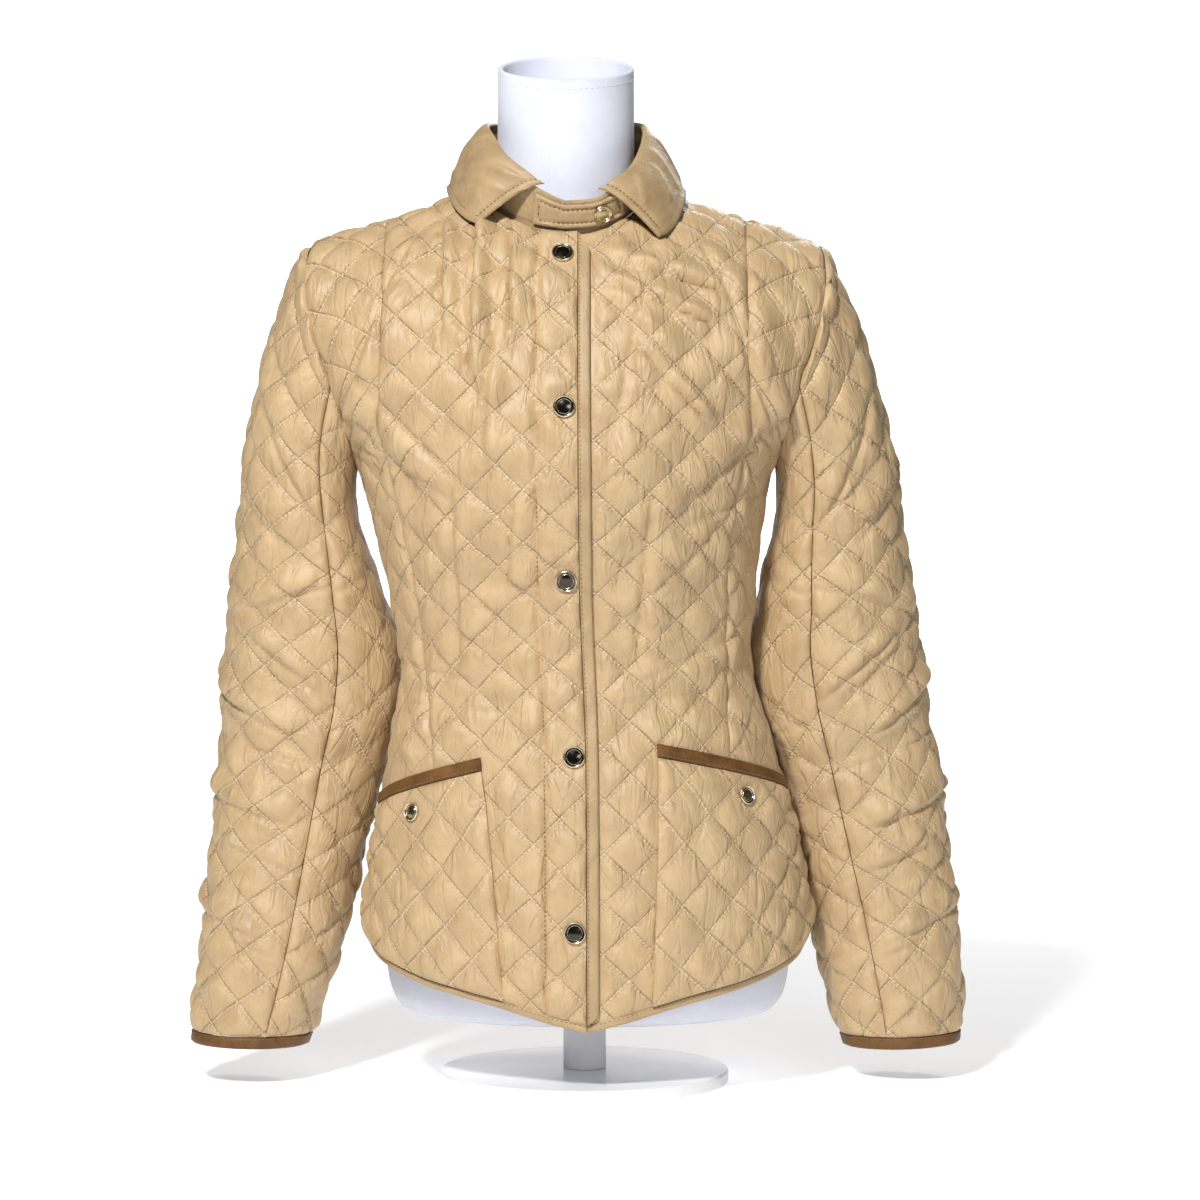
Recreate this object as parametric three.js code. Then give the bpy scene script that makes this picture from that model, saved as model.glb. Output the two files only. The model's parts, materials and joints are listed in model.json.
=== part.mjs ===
// Quilted jacket on a limbless dress form, in millimetres, +Z up, its front to -Y.
// Right and left are the wearer's: right is -X. Heights are above the floor.
import * as THREE from 'three';

// Driving dimensions
const WALL = 1.8;             // thickness of the quilted cloth at a stitch
const PUFF = 2.4;             // how far a diamond stands above its stitches
const SEAM = 0.3;             // gap between two pieces that are sewn together
const ROWS = 30;              // half diamonds from hem to shoulder
const TRIM = 2.6;             // thickness of a binding
const LAP = 18;               // how far each front reaches past the centre line
const LAP_LIFT = 2.9;         // the right front lies this much above the left
const LAP_EASE = 62;          // the lift has run out this far from the centre
const EDGE_BINDING = 9;       // width of the front edge binding
const HEM_BINDING = 4.5;
const POCKET_LIFT = 3.1;      // a pocket's plain side above the front's plain side
const LEATHER = 10;           // height of the pocket and cuff trims
const SNAP_RADIUS = 8;
const MID_Y = 4;              // where the fronts and the back meet
const FRONT_SHOULDER = 115;   // depth below the shoulder where the front is full
const BACK_SHOULDER = 120;
const NECK_HALF = 66;         // half width of the neckline at the shoulder
const NECK_Z = 662;           // height of the neckline at the shoulder
const NECK_DROP = 37;         // front neckline below that
const BACK_NECK_DROP = 7;
const SHOULDER_SLOPE = 0.2975;
const UNDERARM_Z = 463;
const FORM_NECK = { half: 51, front: 45, back: 45, y: -8, rimZ: 758, slant: 0.378 };
const FORM_ARM = 172;         // half width of the form across its cut arms

// Inner face of the cloth round the body, a row for each height
const BODY = [
  { z: 40, centre: 17, half: 168, front: 116, back: 112 },
  { z: 125, centre: 16, half: 164, front: 114, back: 110 },
  { z: 185, centre: 15, half: 154, front: 110, back: 106 },
  { z: 247, centre: 12, half: 143, front: 102, back: 97 },
  { z: 308, centre: 8, half: 129, front: 94, back: 86 },
  { z: 360, centre: 5, half: 134, front: 100, back: 86 },
  { z: 410, centre: 2, half: 142, front: 114, back: 92 },
  { z: 457, centre: 0, half: 153, front: 121, back: 98 },
  { z: 482, centre: 0, half: 167, front: 119, back: 100 },
  { z: 515, centre: 0, half: 188, front: 116, back: 102 },
  { z: 545, centre: 0, half: 210, front: 107, back: 102 },
  { z: 584, centre: 0, half: 245, front: 97, back: 98 },
  { z: 620, centre: 0, half: 280, front: 87, back: 88 },
  { z: 660, centre: 0, half: 300, front: 76, back: 78 },
];
// Half width of the body piece between the armholes
const ARMHOLE = [
  { z: 463, x: 156 }, { z: 482, x: 158 }, { z: 515, x: 167 }, { z: 545, x: 178 },
  { z: 584, x: 186 }, { z: 615, x: 189 }, { z: 628, x: 187 },
];
// Princess seam, from the centre line of the body
const PRINCESS = [
  { z: 40, x: 112 }, { z: 95, x: 112 }, { z: 190, x: 108 }, { z: 265, x: 107 }, { z: 308, x: 109 },
  { z: 344, x: 111 }, { z: 382, x: 114 }, { z: 417, x: 120 }, { z: 448, x: 125 }, { z: 480, x: 129.5 },
  { z: 545, x: 128 }, { z: 600, x: 131 }, { z: 645, x: 134 },
];
// Height of the hem by distance from the centre line
const HEM = [
  { x: 0, z: 57 }, { x: 25, z: 63 }, { x: 46, z: 69 }, { x: 68, z: 75 }, { x: 92, z: 80.5 },
  { x: 115, z: 86 }, { x: 137, z: 93.5 }, { x: 155, z: 103 }, { x: 168, z: 121 },
];
// The sleeves' rings: their outer and inner points seen from the front, half depth, middle
const SLEEVES = {
  right: [
    { outX: 187, outZ: 626, inX: 156, inZ: 463, depth: 57, y: 4 },
    { outX: 203, outZ: 601, inX: 160, inZ: 450, depth: 56, y: 8 },
    { outX: 214, outZ: 573, inX: 161, inZ: 437, depth: 55, y: 12 },
    { outX: 225, outZ: 543, inX: 159, inZ: 420, depth: 54, y: 17 },
    { outX: 233, outZ: 508, inX: 154, inZ: 403, depth: 53, y: 22 },
    { outX: 239, outZ: 472, inX: 148, inZ: 384, depth: 53, y: 27 },
    { outX: 243.5, outZ: 435, inX: 141, inZ: 362, depth: 53, y: 30 },
    { outX: 249, outZ: 390, inX: 133, inZ: 338, depth: 53, y: 33 },
    { outX: 254, outZ: 340, inX: 126, inZ: 310, depth: 52, y: 35 },
    { outX: 258, outZ: 288, inX: 129, inZ: 274, depth: 50, y: 36 },
    { outX: 261, outZ: 240, inX: 141, inZ: 234, depth: 48, y: 34 },
    { outX: 264, outZ: 190, inX: 153, inZ: 188, depth: 47, y: 30 },
    { outX: 269, outZ: 135, inX: 165, inZ: 134, depth: 46, y: 24 },
    { outX: 274, outZ: 80, inX: 179, inZ: 80, depth: 44, y: 16 },
    { outX: 280, outZ: 29, inX: 196, inZ: 27, depth: 41, y: 9 },
  ],
  left: [
    { outX: 187, outZ: 626, inX: 156, inZ: 463, depth: 57, y: 4 },
    { outX: 203, outZ: 600, inX: 160, inZ: 450, depth: 56, y: 8 },
    { outX: 215, outZ: 572, inX: 161, inZ: 437, depth: 55, y: 12 },
    { outX: 226, outZ: 540, inX: 160, inZ: 420, depth: 54, y: 17 },
    { outX: 236, outZ: 505, inX: 157, inZ: 403, depth: 53, y: 22 },
    { outX: 244, outZ: 468, inX: 152, inZ: 384, depth: 53, y: 27 },
    { outX: 250, outZ: 428, inX: 148, inZ: 362, depth: 53, y: 30 },
    { outX: 257.5, outZ: 382, inX: 144, inZ: 338, depth: 53, y: 33 },
    { outX: 264, outZ: 335, inX: 140, inZ: 310, depth: 52, y: 35 },
    { outX: 271.5, outZ: 286, inX: 145, inZ: 274, depth: 50, y: 37 },
    { outX: 279, outZ: 238, inX: 156, inZ: 234, depth: 48, y: 38 },
    { outX: 285, outZ: 188, inX: 169, inZ: 188, depth: 47, y: 38 },
    { outX: 291, outZ: 135, inX: 184, inZ: 135, depth: 46, y: 36 },
    { outX: 297, outZ: 78, inX: 198, inZ: 78, depth: 44, y: 30 },
    { outX: 296, outZ: 27, inX: 212, inZ: 24, depth: 41, y: 24 },
  ],
};
const SLEEVE_ROWS = 30;
const TOP_COLUMNS = 10;
const UNDER_COLUMNS = 6;
const FRONT_SEAM_ANGLE = 108;  // degrees round the sleeve from its outer side
const BACK_SEAM_ANGLE = 118;
// The collar round the neck: share of the way round from the centre front over the wearer's
// right, its roll line, and the outer edge of the fall
const COLLAR = [
  { at: 0.00, rollX: 0, rollY: -72, rollZ: 651, edgeX: -50, edgeY: -64, edgeZ: 632 },
  { at: 0.03, rollX: -11, rollY: -72, rollZ: 656, edgeX: -63, edgeY: -62, edgeZ: 634 },
  { at: 0.09, rollX: -30, rollY: -69, rollZ: 668, edgeX: -75, edgeY: -53, edgeZ: 641 },
  { at: 0.15, rollX: -43, rollY: -60, rollZ: 680, edgeX: -83, edgeY: -38, edgeZ: 652 },
  { at: 0.22, rollX: -53, rollY: -35, rollZ: 697, edgeX: -88, edgeY: -15, edgeZ: 664 },
  { at: 0.30, rollX: -58, rollY: -10, rollZ: 709, edgeX: -87, edgeY: 12, edgeZ: 667 },
  { at: 0.38, rollX: -52, rollY: 22, rollZ: 716, edgeX: -73, edgeY: 44, edgeZ: 664 },
  { at: 0.45, rollX: -26, rollY: 43, rollZ: 720, edgeX: -38, edgeY: 64, edgeZ: 661 },
  { at: 0.50, rollX: 0, rollY: 47, rollZ: 722, edgeX: 0, edgeY: 69, edgeZ: 660 },
  { at: 0.55, rollX: 26, rollY: 43, rollZ: 720, edgeX: 38, edgeY: 64, edgeZ: 661 },
  { at: 0.62, rollX: 52, rollY: 22, rollZ: 716, edgeX: 73, edgeY: 44, edgeZ: 664 },
  { at: 0.70, rollX: 58, rollY: -10, rollZ: 706, edgeX: 87, edgeY: 12, edgeZ: 667 },
  { at: 0.78, rollX: 55, rollY: -35, rollZ: 688, edgeX: 89, edgeY: -14, edgeZ: 660 },
  { at: 0.85, rollX: 46, rollY: -58, rollZ: 670, edgeX: 86, edgeY: -36, edgeZ: 648 },
  { at: 0.90, rollX: 34, rollY: -69, rollZ: 660, edgeX: 79, edgeY: -54, edgeZ: 633 },
  { at: 0.95, rollX: 21, rollY: -71, rollZ: 653, edgeX: 68, edgeY: -65, edgeZ: 624 },
  { at: 1.00, rollX: 0, rollY: -72, rollZ: 651, edgeX: 50, edgeY: -66, edgeZ: 624 },
];
const STAND_THICK = 1.8;
const FALL_THICK = 2.4;
const FALL_END = { right: 0.03, left: 0.95 };
// Pockets: inner edge from the body's centre line, top of the cloth, bottom at the hem
const POCKETS = {
  right: { topX: 71, hemX: 58, innerZ: 236, sideZ: 206, side: -1 },
  left: { topX: 54, hemX: 45, innerZ: 246, sideZ: 217, side: 1 },
};
const POCKET_SIDE = 84;       // degrees round the body where a pocket ends
const FRONT_SNAPS = [
  { x: -1.5, z: 608 }, { x: 0, z: 497 }, { x: 1.4, z: 375 }, { x: 7, z: 247 }, { x: 7.8, z: 123 },
];
const POCKET_SNAPS = { right: { x: -122, z: 205 }, left: { x: 115, z: 217 } };

// Colours from the photograph
const COLOURS = {
  cloth: { color: 0xcdb082, roughness: 0.5, metalness: 0 },
  plain: { color: 0xd3b888, roughness: 0.42, metalness: 0 },
  leather: { color: 0x8b5a2b, roughness: 0.55, metalness: 0 },
  metal: { color: 0xb9a98c, roughness: 0.3, metalness: 1 },
  form: { color: 0xebecf5, roughness: 0.8, metalness: 0 },
};

const jacket = new THREE.Group();
const { clamp, lerp, degToRad } = THREE.MathUtils;
const smooth = (value, from, to) => THREE.MathUtils.smoothstep(value, from, to);
const vec = (x, y, z) => new THREE.Vector3(x, y, z);

// A smooth function through one column of a table, level or straight past its ends
function through(table, key, column) {
  const at = table.map((row) => row[key]);
  const value = table.map((row) => row[column]);
  const last = at.length - 1;
  const slope = value.map((_, k) => {
    const before = Math.max(k - 1, 0);
    const after = Math.min(k + 1, last);
    return (value[after] - value[before]) / (at[after] - at[before]);
  });
  return (where) => {
    const x = clamp(where, at[0], at[last]);
    let k = 0;
    while (k < last - 1 && x > at[k + 1]) k += 1;
    const step = at[k + 1] - at[k];
    const t = (x - at[k]) / step;
    const t2 = t * t;
    const t3 = t2 * t;
    return (2 * t3 - 3 * t2 + 1) * value[k] + (t3 - 2 * t2 + t) * step * slope[k]
      + (3 * t2 - 2 * t3) * value[k + 1] + (t3 - t2) * step * slope[k + 1];
  };
}

const bodyCentre = through(BODY, 'z', 'centre');
const bodyHalf = through(BODY, 'z', 'half');
const bodyFront = through(BODY, 'z', 'front');
const bodyBack = through(BODY, 'z', 'back');
const armholeX = through(ARMHOLE, 'z', 'x');
const princessX = through(PRINCESS, 'z', 'x');
const hemHeight = through(HEM, 'x', 'z');

// Shoulder line, which goes on smoothly under the collar
function ridge(x) {
  const far = Math.abs(x);
  if (far > NECK_HALF) return NECK_Z - SHOULDER_SLOPE * (far - NECK_HALF);
  return NECK_Z + SHOULDER_SLOPE * NECK_HALF / 2 * (1 - (far / NECK_HALF) ** 2);
}
// How round the body still is at a depth below the shoulder, squared
const fullness = (depth, reach) => 1 - (1 - Math.min(depth / reach, 1)) ** 2;

// The body's surface at an angle from the centre front, right side negative
function bodyPoint(angle, z, isBack) {
  const x = bodyCentre(z) + bodyHalf(z) * Math.sin(angle);
  const reach = isBack ? BACK_SHOULDER : FRONT_SHOULDER;
  const round = Math.sqrt(Math.max(fullness(ridge(x) - z, reach), 0));
  const deep = (isBack ? bodyBack(z) : -bodyFront(z)) * Math.cos(angle) * round;
  return vec(x, MID_Y + deep, z);
}
// Zero on that surface and rising outwards
function bodyField(x, y, z) {
  const isBack = y > MID_Y;
  const deep = isBack ? bodyBack(z) : bodyFront(z);
  const reach = isBack ? BACK_SHOULDER : FRONT_SHOULDER;
  const across = (x - bodyCentre(z)) / bodyHalf(z);
  return (y - MID_Y) ** 2 - deep ** 2 * fullness(ridge(x) - z, reach) * (1 - across ** 2);
}
function bodyNormal(point) {
  const h = 0.02;
  const { x, y, z } = point;
  return vec(
    bodyField(x + h, y, z) - bodyField(x - h, y, z),
    bodyField(x, y + h, z) - bodyField(x, y - h, z),
    bodyField(x, y, z + h) - bodyField(x, y, z - h),
  ).normalize();
}

// Angle of a body point that lies x from the middle
const angleAt = (x, z) => Math.asin(clamp((x - bodyCentre(z)) / bodyHalf(z), -1, 1));

// One closed mesh from a grid: point(i, j) gives its inner and outer corner
function sheet(name, columns, rows, point, finish, isTube = false) {
  const across = isTube ? columns : columns + 1;
  const corners = [];
  for (let j = 0; j <= rows; j += 1) {
    for (let i = 0; i < across; i += 1) corners.push(point(i, j));
  }
  const positions = [];
  for (const face of ['outer', 'inner']) {
    for (const corner of corners) positions.push(...corner[face].toArray());
  }
  const at = (i, j, inner) => (inner ? corners.length : 0) + j * across + (i % across);
  const index = [];
  const quad = (a, b, c, d, even) => {
    if (even) index.push(a, b, c, a, c, d);
    else index.push(a, b, d, b, c, d);
  };
  for (let j = 0; j < rows; j += 1) {
    for (let i = 0; i < columns; i += 1) {
      const even = (i + j) % 2 === 0;
      quad(at(i, j), at(i + 1, j), at(i + 1, j + 1), at(i, j + 1), even);
      quad(at(i, j, 1), at(i, j + 1, 1), at(i + 1, j + 1, 1), at(i + 1, j, 1), even);
    }
  }
  for (let i = 0; i < columns; i += 1) {
    quad(at(i, 0), at(i, 0, 1), at(i + 1, 0, 1), at(i + 1, 0), true);
    quad(at(i + 1, rows), at(i + 1, rows, 1), at(i, rows, 1), at(i, rows), true);
  }
  for (let j = 0; j < rows && !isTube; j += 1) {
    quad(at(0, j + 1), at(0, j + 1, 1), at(0, j, 1), at(0, j), true);
    quad(at(columns, j), at(columns, j, 1), at(columns, j + 1, 1), at(columns, j + 1), true);
  }
  return solid(name, positions, index, finish);
}

// A named mesh with its faces turned outwards
function solid(name, positions, index, finish) {
  let volume = 0;
  const corner = (k) => vec(...positions.slice(3 * k, 3 * k + 3));
  for (let k = 0; k < index.length; k += 3) {
    const [a, b, c] = [corner(index[k]), corner(index[k + 1]), corner(index[k + 2])];
    volume += a.dot(b.cross(c)) / 6;
  }
  if (volume < 0) index.reverse();
  const geometry = new THREE.BufferGeometry();
  geometry.setAttribute('position', new THREE.Float32BufferAttribute(positions, 3));
  geometry.setIndex(index);
  geometry.computeVertexNormals();
  const mesh = new THREE.Mesh(geometry, new THREE.MeshStandardMaterial(finish));
  mesh.name = name;
  jacket.add(mesh);
  return mesh;
}

// Rows run level and take up the slope of the hem and of the top near each end. Over the
// round of the shoulder they draw together, so that they stay even along the cloth
const ROUND_FROM = { row: 0.81, height: 0.87 };
function rowHeight(row, hem, top) {
  const low = HEM[HEM.length - 1].z;
  const high = ridge(ARMHOLE[ARMHOLE.length - 1].x);
  const over = Math.max(row - ROUND_FROM.row, 0) / (1 - ROUND_FROM.row);
  const t = over ? ROUND_FROM.height + (1 - ROUND_FROM.height) * Math.sin(over * Math.PI / 2)
    : row * ROUND_FROM.height / ROUND_FROM.row;
  return lerp(low, high, t) + (1 - t) ** 2.2 * (hem - low) + t ** 3 * (top - high);
}
const frontNeckline = (x) => NECK_Z - NECK_DROP * (1 - Math.min(Math.abs(x) / NECK_HALF, 1) ** 2.5);
const backNeckline = (x) => NECK_Z - BACK_NECK_DROP * (1 - Math.min(Math.abs(x) / NECK_HALF, 1) ** 2);
const hemOf = (angle) => hemHeight(Math.abs(bodyHalf(HEM[0].z) * Math.sin(angle)));
const topOf = (angle, isBack) => {
  let z = NECK_Z;
  for (let k = 0; k < 6; k += 1) {
    const x = bodyCentre(z) + bodyHalf(z) * Math.sin(angle);
    z = Math.min(isBack ? backNeckline(x) : frontNeckline(x), ridge(x));
  }
  return z;
};

// Seam and edge lines of the body pieces: the angle at a height
const sideLine = (side) => (z) => (z < UNDERARM_Z
  ? side * Math.PI / 2 : side * Math.asin(Math.min(armholeX(z) / bodyHalf(z), 1)));
const princessLine = (side) => (z) => angleAt(bodyCentre(z) + side * princessX(z), z);
const centreLean = through([{ z: 57, x: 7 }, { z: 247, x: 6 }, { z: 375, x: 1.4 }, { z: 660, x: 0 }], 'z', 'x');
const frontLine = (offset) => (z) => angleAt(centreLean(z) + offset, z);

// How far puffs are let down at a body point: seams, snaps and what lies on the cloth
function puffShare(point, isBack) {
  if (isBack) return 1;
  let share = 1;
  for (const snap of FRONT_SNAPS) {
    const away = Math.hypot(point.x - snap.x, point.z - snap.z);
    share = Math.min(share, smooth(away, SNAP_RADIUS, 3.4 * SNAP_RADIUS));
  }
  return share;
}
function underPocket(point) {
  const side = Math.sign(point.x - bodyCentre(point.z));
  const pocket = side < 0 ? POCKETS.right : POCKETS.left;
  const out = side * (point.x - bodyCentre(point.z));
  return out > pocket.hemX - 22 && point.z < pocket.innerZ + LEATHER + 16 && point.y < MID_Y + 10;
}

// How far the right front is held off by the left one under it
const lapLift = (point) => LAP_LIFT * (1 - smooth(centreLean(point.z) - point.x, LAP + 4, LAP_EASE));

// Where steps of equal length along a curve lie, as shares of its parameter
function evenShares(count, curve) {
  const fine = 40 * count;
  const lengths = [0];
  for (let k = 1; k <= fine; k += 1) {
    lengths.push(lengths[k - 1] + curve(k / fine).distanceTo(curve((k - 1) / fine)));
  }
  return Array.from({ length: count + 1 }, (_, i) => (
    lengths.findIndex((length) => length >= lengths[fine] * i / count - 1e-9) / fine));
}

// A quilted piece of the body between two lines
function bodyPiece(name, columns, left, right, isBack) {
  const atRow = (line, j, end) => {
    let z = lerp(HEM[0].z, NECK_Z, j / ROWS);
    for (let k = 0; k < 8; k += 1) {
      const angle = line(z);
      z = rowHeight(j / ROWS, hemOf(angle), topOf(angle, isBack));
    }
    return { angle: line(z) + end * SEAM * 0.6 / bodyHalf(z), z };
  };
  const edges = [];
  for (let j = 0; j <= ROWS; j += 1) edges.push([atRow(left, j, 1), atRow(right, j, -1)]);
  const even = evenShares(columns, (share) => {
    const angle = lerp(edges[ROWS][0].angle, edges[ROWS][1].angle, share);
    return bodyPoint(angle, topOf(angle, isBack), isBack);
  });
  const angleIn = (i, j) => {
    const share = lerp(i / columns, even[i], (j / ROWS) ** 6);
    return lerp(edges[j][0].angle, edges[j][1].angle, share);
  };
  return sheet(name, columns, ROWS, (i, j) => {
    const angle = angleIn(i, j);
    const hem = hemOf(angleIn(i, 0));
    const top = topOf(angleIn(i, ROWS), isBack);
    const inner = bodyPoint(angle, rowHeight(j / ROWS, hem, top), isBack);
    if (j === ROWS) inner.y += (isBack ? SEAM : -SEAM) / 2;
    const normal = bodyNormal(inner);
    const isEdge = i === 0 || j === 0 || i === columns || j === ROWS;
    let puff = isEdge || (i + j) % 2 === 0 ? 0 : PUFF * puffShare(inner, isBack);
    if (!isBack && underPocket(inner)) puff = Math.min(puff, 0.5);
    if (name === 'front_centre_left' && inner.x < centreLean(inner.z) + LAP + 12) puff = 0;
    const lift = name === 'front_centre_right' ? lapLift(inner) : 0;
    const base = inner.addScaledVector(normal, lift);
    return { inner: base, outer: base.clone().addScaledVector(normal, WALL + puff) };
  }, COLOURS.cloth);
}
bodyPiece('back', 20, sideLine(-1), sideLine(1), true);
bodyPiece('front_side_right', 6, sideLine(-1), princessLine(-1), false);
bodyPiece('front_centre_right', 7, princessLine(-1), frontLine(LAP - EDGE_BINDING), false);
bodyPiece('front_centre_left', 7, frontLine(-LAP), princessLine(1), false);
bodyPiece('front_side_left', 6, princessLine(1), sideLine(1), false);

// A plain strip on the body: corner(u, v) gives angle and height, u along it and v across it
function bodyStrip(name, columns, rows, corner, lift, thick, finish, isBack = false) {
  return sheet(name, columns, rows, (i, j) => {
    const { angle, z } = corner(i / columns, j / rows);
    const point = bodyPoint(angle, z, isBack);
    const normal = bodyNormal(point);
    const base = point.clone().addScaledVector(normal, lift(point));
    return { inner: base, outer: base.clone().addScaledVector(normal, thick) };
  }, finish);
}

// Bindings: down the right front's edge, and under the hem
bodyStrip('front_edge_binding', 1, ROWS, (u, v) => {
  const line = frontLine(lerp(LAP - EDGE_BINDING + SEAM, LAP, u));
  let z = lerp(HEM[0].z, frontNeckline(LAP), v);
  for (let k = 0; k < 8; k += 1) {
    const top = topOf(line(z), false) - 16 * u;
    z = rowHeight(v, hemOf(line(z)) + 6 * u, top);
  }
  return { angle: line(z), z };
}, lapLift, TRIM, COLOURS.plain);

function hemBinding(name, columns, leftLine, rightLine, isBack) {
  const start = leftLine(HEM[0].z);
  const end = rightLine(HEM[0].z);
  const edge = SEAM / bodyHalf(HEM[0].z) * Math.sign(end - start);
  bodyStrip(name, columns, 1, (u, v) => {
    const angle = lerp(start + edge, end - edge, u);
    const top = hemOf(angle) - 3 * SEAM;
    return { angle, z: v ? top : top - HEM_BINDING };
  }, name === 'hem_binding_right' ? lapLift : () => 0, TRIM - SEAM, COLOURS.plain, isBack);
}
hemBinding('hem_binding_right', 13, sideLine(-1), frontLine(LAP - EDGE_BINDING), false);
hemBinding('hem_binding_left', 13, frontLine(-LAP), sideLine(1), false);
hemBinding('hem_binding_back', 20, sideLine(-1), sideLine(1), true);

// Patch pockets and their leather tops
function pocketCorner(pocket, u, v, above) {
  const side = pocket.side;
  const outer = side * degToRad(POCKET_SIDE);
  let z = pocket.innerZ;
  let angle = 0;
  for (let k = 0; k < 8; k += 1) {
    const share = clamp((z - HEM[0].z) / (pocket.innerZ - HEM[0].z), 0, 1);
    const across = lerp(pocket.hemX, pocket.topX, share);
    const inner = angleAt(bodyCentre(z) + side * across, z);
    angle = lerp(inner, outer, u);
    const top = lerp(pocket.innerZ, pocket.sideZ, u);
    z = above ? top + SEAM + LEATHER * v : lerp(hemOf(angle) + 1, top, v);
  }
  return { angle, z };
}
const POCKET_COLUMNS = 6;
const POCKET_ROWS = 7;
for (const [name, pocket] of Object.entries(POCKETS)) {
  const snap = POCKET_SNAPS[name];
  sheet(`pocket_${name}`, POCKET_COLUMNS, POCKET_ROWS, (i, j) => {
    const { angle, z } = pocketCorner(pocket, i / POCKET_COLUMNS, j / POCKET_ROWS, false);
    const point = bodyPoint(angle, z, false);
    const normal = bodyNormal(point);
    const isEdge = i === 0 || j === 0 || i === POCKET_COLUMNS || j === POCKET_ROWS;
    const fromSnap = Math.hypot(point.x - bodyCentre(z) - snap.x, z - snap.z);
    const puff = isEdge || (i + j) % 2 === 0 ? 0 : PUFF * smooth(fromSnap, SNAP_RADIUS, 3 * SNAP_RADIUS);
    const base = point.clone().addScaledVector(normal, POCKET_LIFT);
    return { inner: base, outer: base.clone().addScaledVector(normal, WALL + puff) };
  }, COLOURS.cloth);
  bodyStrip(`pocket_trim_${name}`, POCKET_COLUMNS, 1,
    (u, v) => pocketCorner(pocket, u, v, true), () => POCKET_LIFT, TRIM, COLOURS.leather);
}

// A domed snap cap that stands on a point, facing along a direction
function snapCap(name, point, direction, radius = SNAP_RADIUS) {
  const outline = [[0, 0], [radius, 0], [radius, 1.2], [radius - 1.8, 2.3], [0, 2.5]];
  const cap = new THREE.Mesh(
    new THREE.LatheGeometry(outline.map(([r, h]) => new THREE.Vector2(r, h)), 14),
    new THREE.MeshStandardMaterial(COLOURS.metal),
  );
  cap.name = name;
  cap.position.copy(point);
  cap.quaternion.setFromUnitVectors(vec(0, 1, 0), direction);
  jacket.add(cap);
}
FRONT_SNAPS.forEach((snap, k) => {
  const point = bodyPoint(angleAt(snap.x, snap.z), snap.z, false);
  const normal = bodyNormal(point);
  snapCap(`snap_front_${k + 1}`, point.addScaledVector(normal, LAP_LIFT + WALL + 2 * SEAM), normal);
});
for (const [name, snap] of Object.entries(POCKET_SNAPS)) {
  const angle = angleAt(bodyCentre(snap.z) + snap.x, snap.z);
  const point = bodyPoint(angle, snap.z, false);
  const normal = bodyNormal(point);
  snapCap(`snap_pocket_${name}`, point.addScaledVector(normal, POCKET_LIFT + WALL + 2 * SEAM), normal, 7);
}

// Keeps a sleeve's point clear of the body below the underarm
function clearOfBody(point, side, clearance) {
  const z = Math.min(point.z, UNDERARM_Z);
  const deep = point.y > MID_Y ? bodyBack(z) : bodyFront(z);
  const across = (point.y - MID_Y) / (deep + clearance);
  if (Math.abs(across) >= 1) return point;
  const reach = (bodyHalf(z) + clearance) * Math.sqrt(1 - across ** 2);
  const x = Math.max(side * (point.x - bodyCentre(z)), reach);
  return vec(bodyCentre(z) + side * x, point.y, point.z);
}
// The armhole at an angle round the sleeve, 0 at the shoulder, front first
function armholePoint(angle, side) {
  const turn = (angle + 2 * Math.PI) % (2 * Math.PI);
  const isBack = turn > Math.PI;
  const share = (isBack ? 2 * Math.PI - turn : turn) / Math.PI;
  const height = ridge(armholeX(628)) - UNDERARM_Z;
  const z = UNDERARM_Z + height * (1 + Math.cos(share * Math.PI)) / 2;
  return bodyPoint(sideLine(side)(z), z, isBack);
}
function sleeveRing(table, share) {
  const rows = table.map((row, k) => ({ at: k, ...row }));
  const where = share * (table.length - 1);
  const ring = {};
  for (const column of ['outX', 'outZ', 'inX', 'inZ', 'depth', 'y']) {
    ring[column] = through(rows, 'at', column)(where);
  }
  return ring;
}
function sleevePoint(table, side, angle, share) {
  const ring = sleeveRing(table, share);
  const across = (1 + Math.cos(angle)) / 2;
  const point = vec(
    side * lerp(ring.inX, ring.outX, across),
    ring.y - ring.depth * Math.sin(angle),
    lerp(ring.inZ, ring.outZ, across),
  );
  const clearance = 9.5 + 4 * smooth(-point.z, -265, -235) * smooth(-point.y, -30, -5);
  const pushed = clearOfBody(point, side, clearance * smooth(share, 0, 0.07));
  const blend = 1 - smooth(share, 0, 0.16);
  const start = armholePoint(angle, side);
  const outwards = 3 * SEAM + WALL * (1 + 0.6 * Math.max(0, -Math.cos(angle)));
  start.x += side * outwards;
  return pushed.lerp(start, blend ** 1.5);
}
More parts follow.
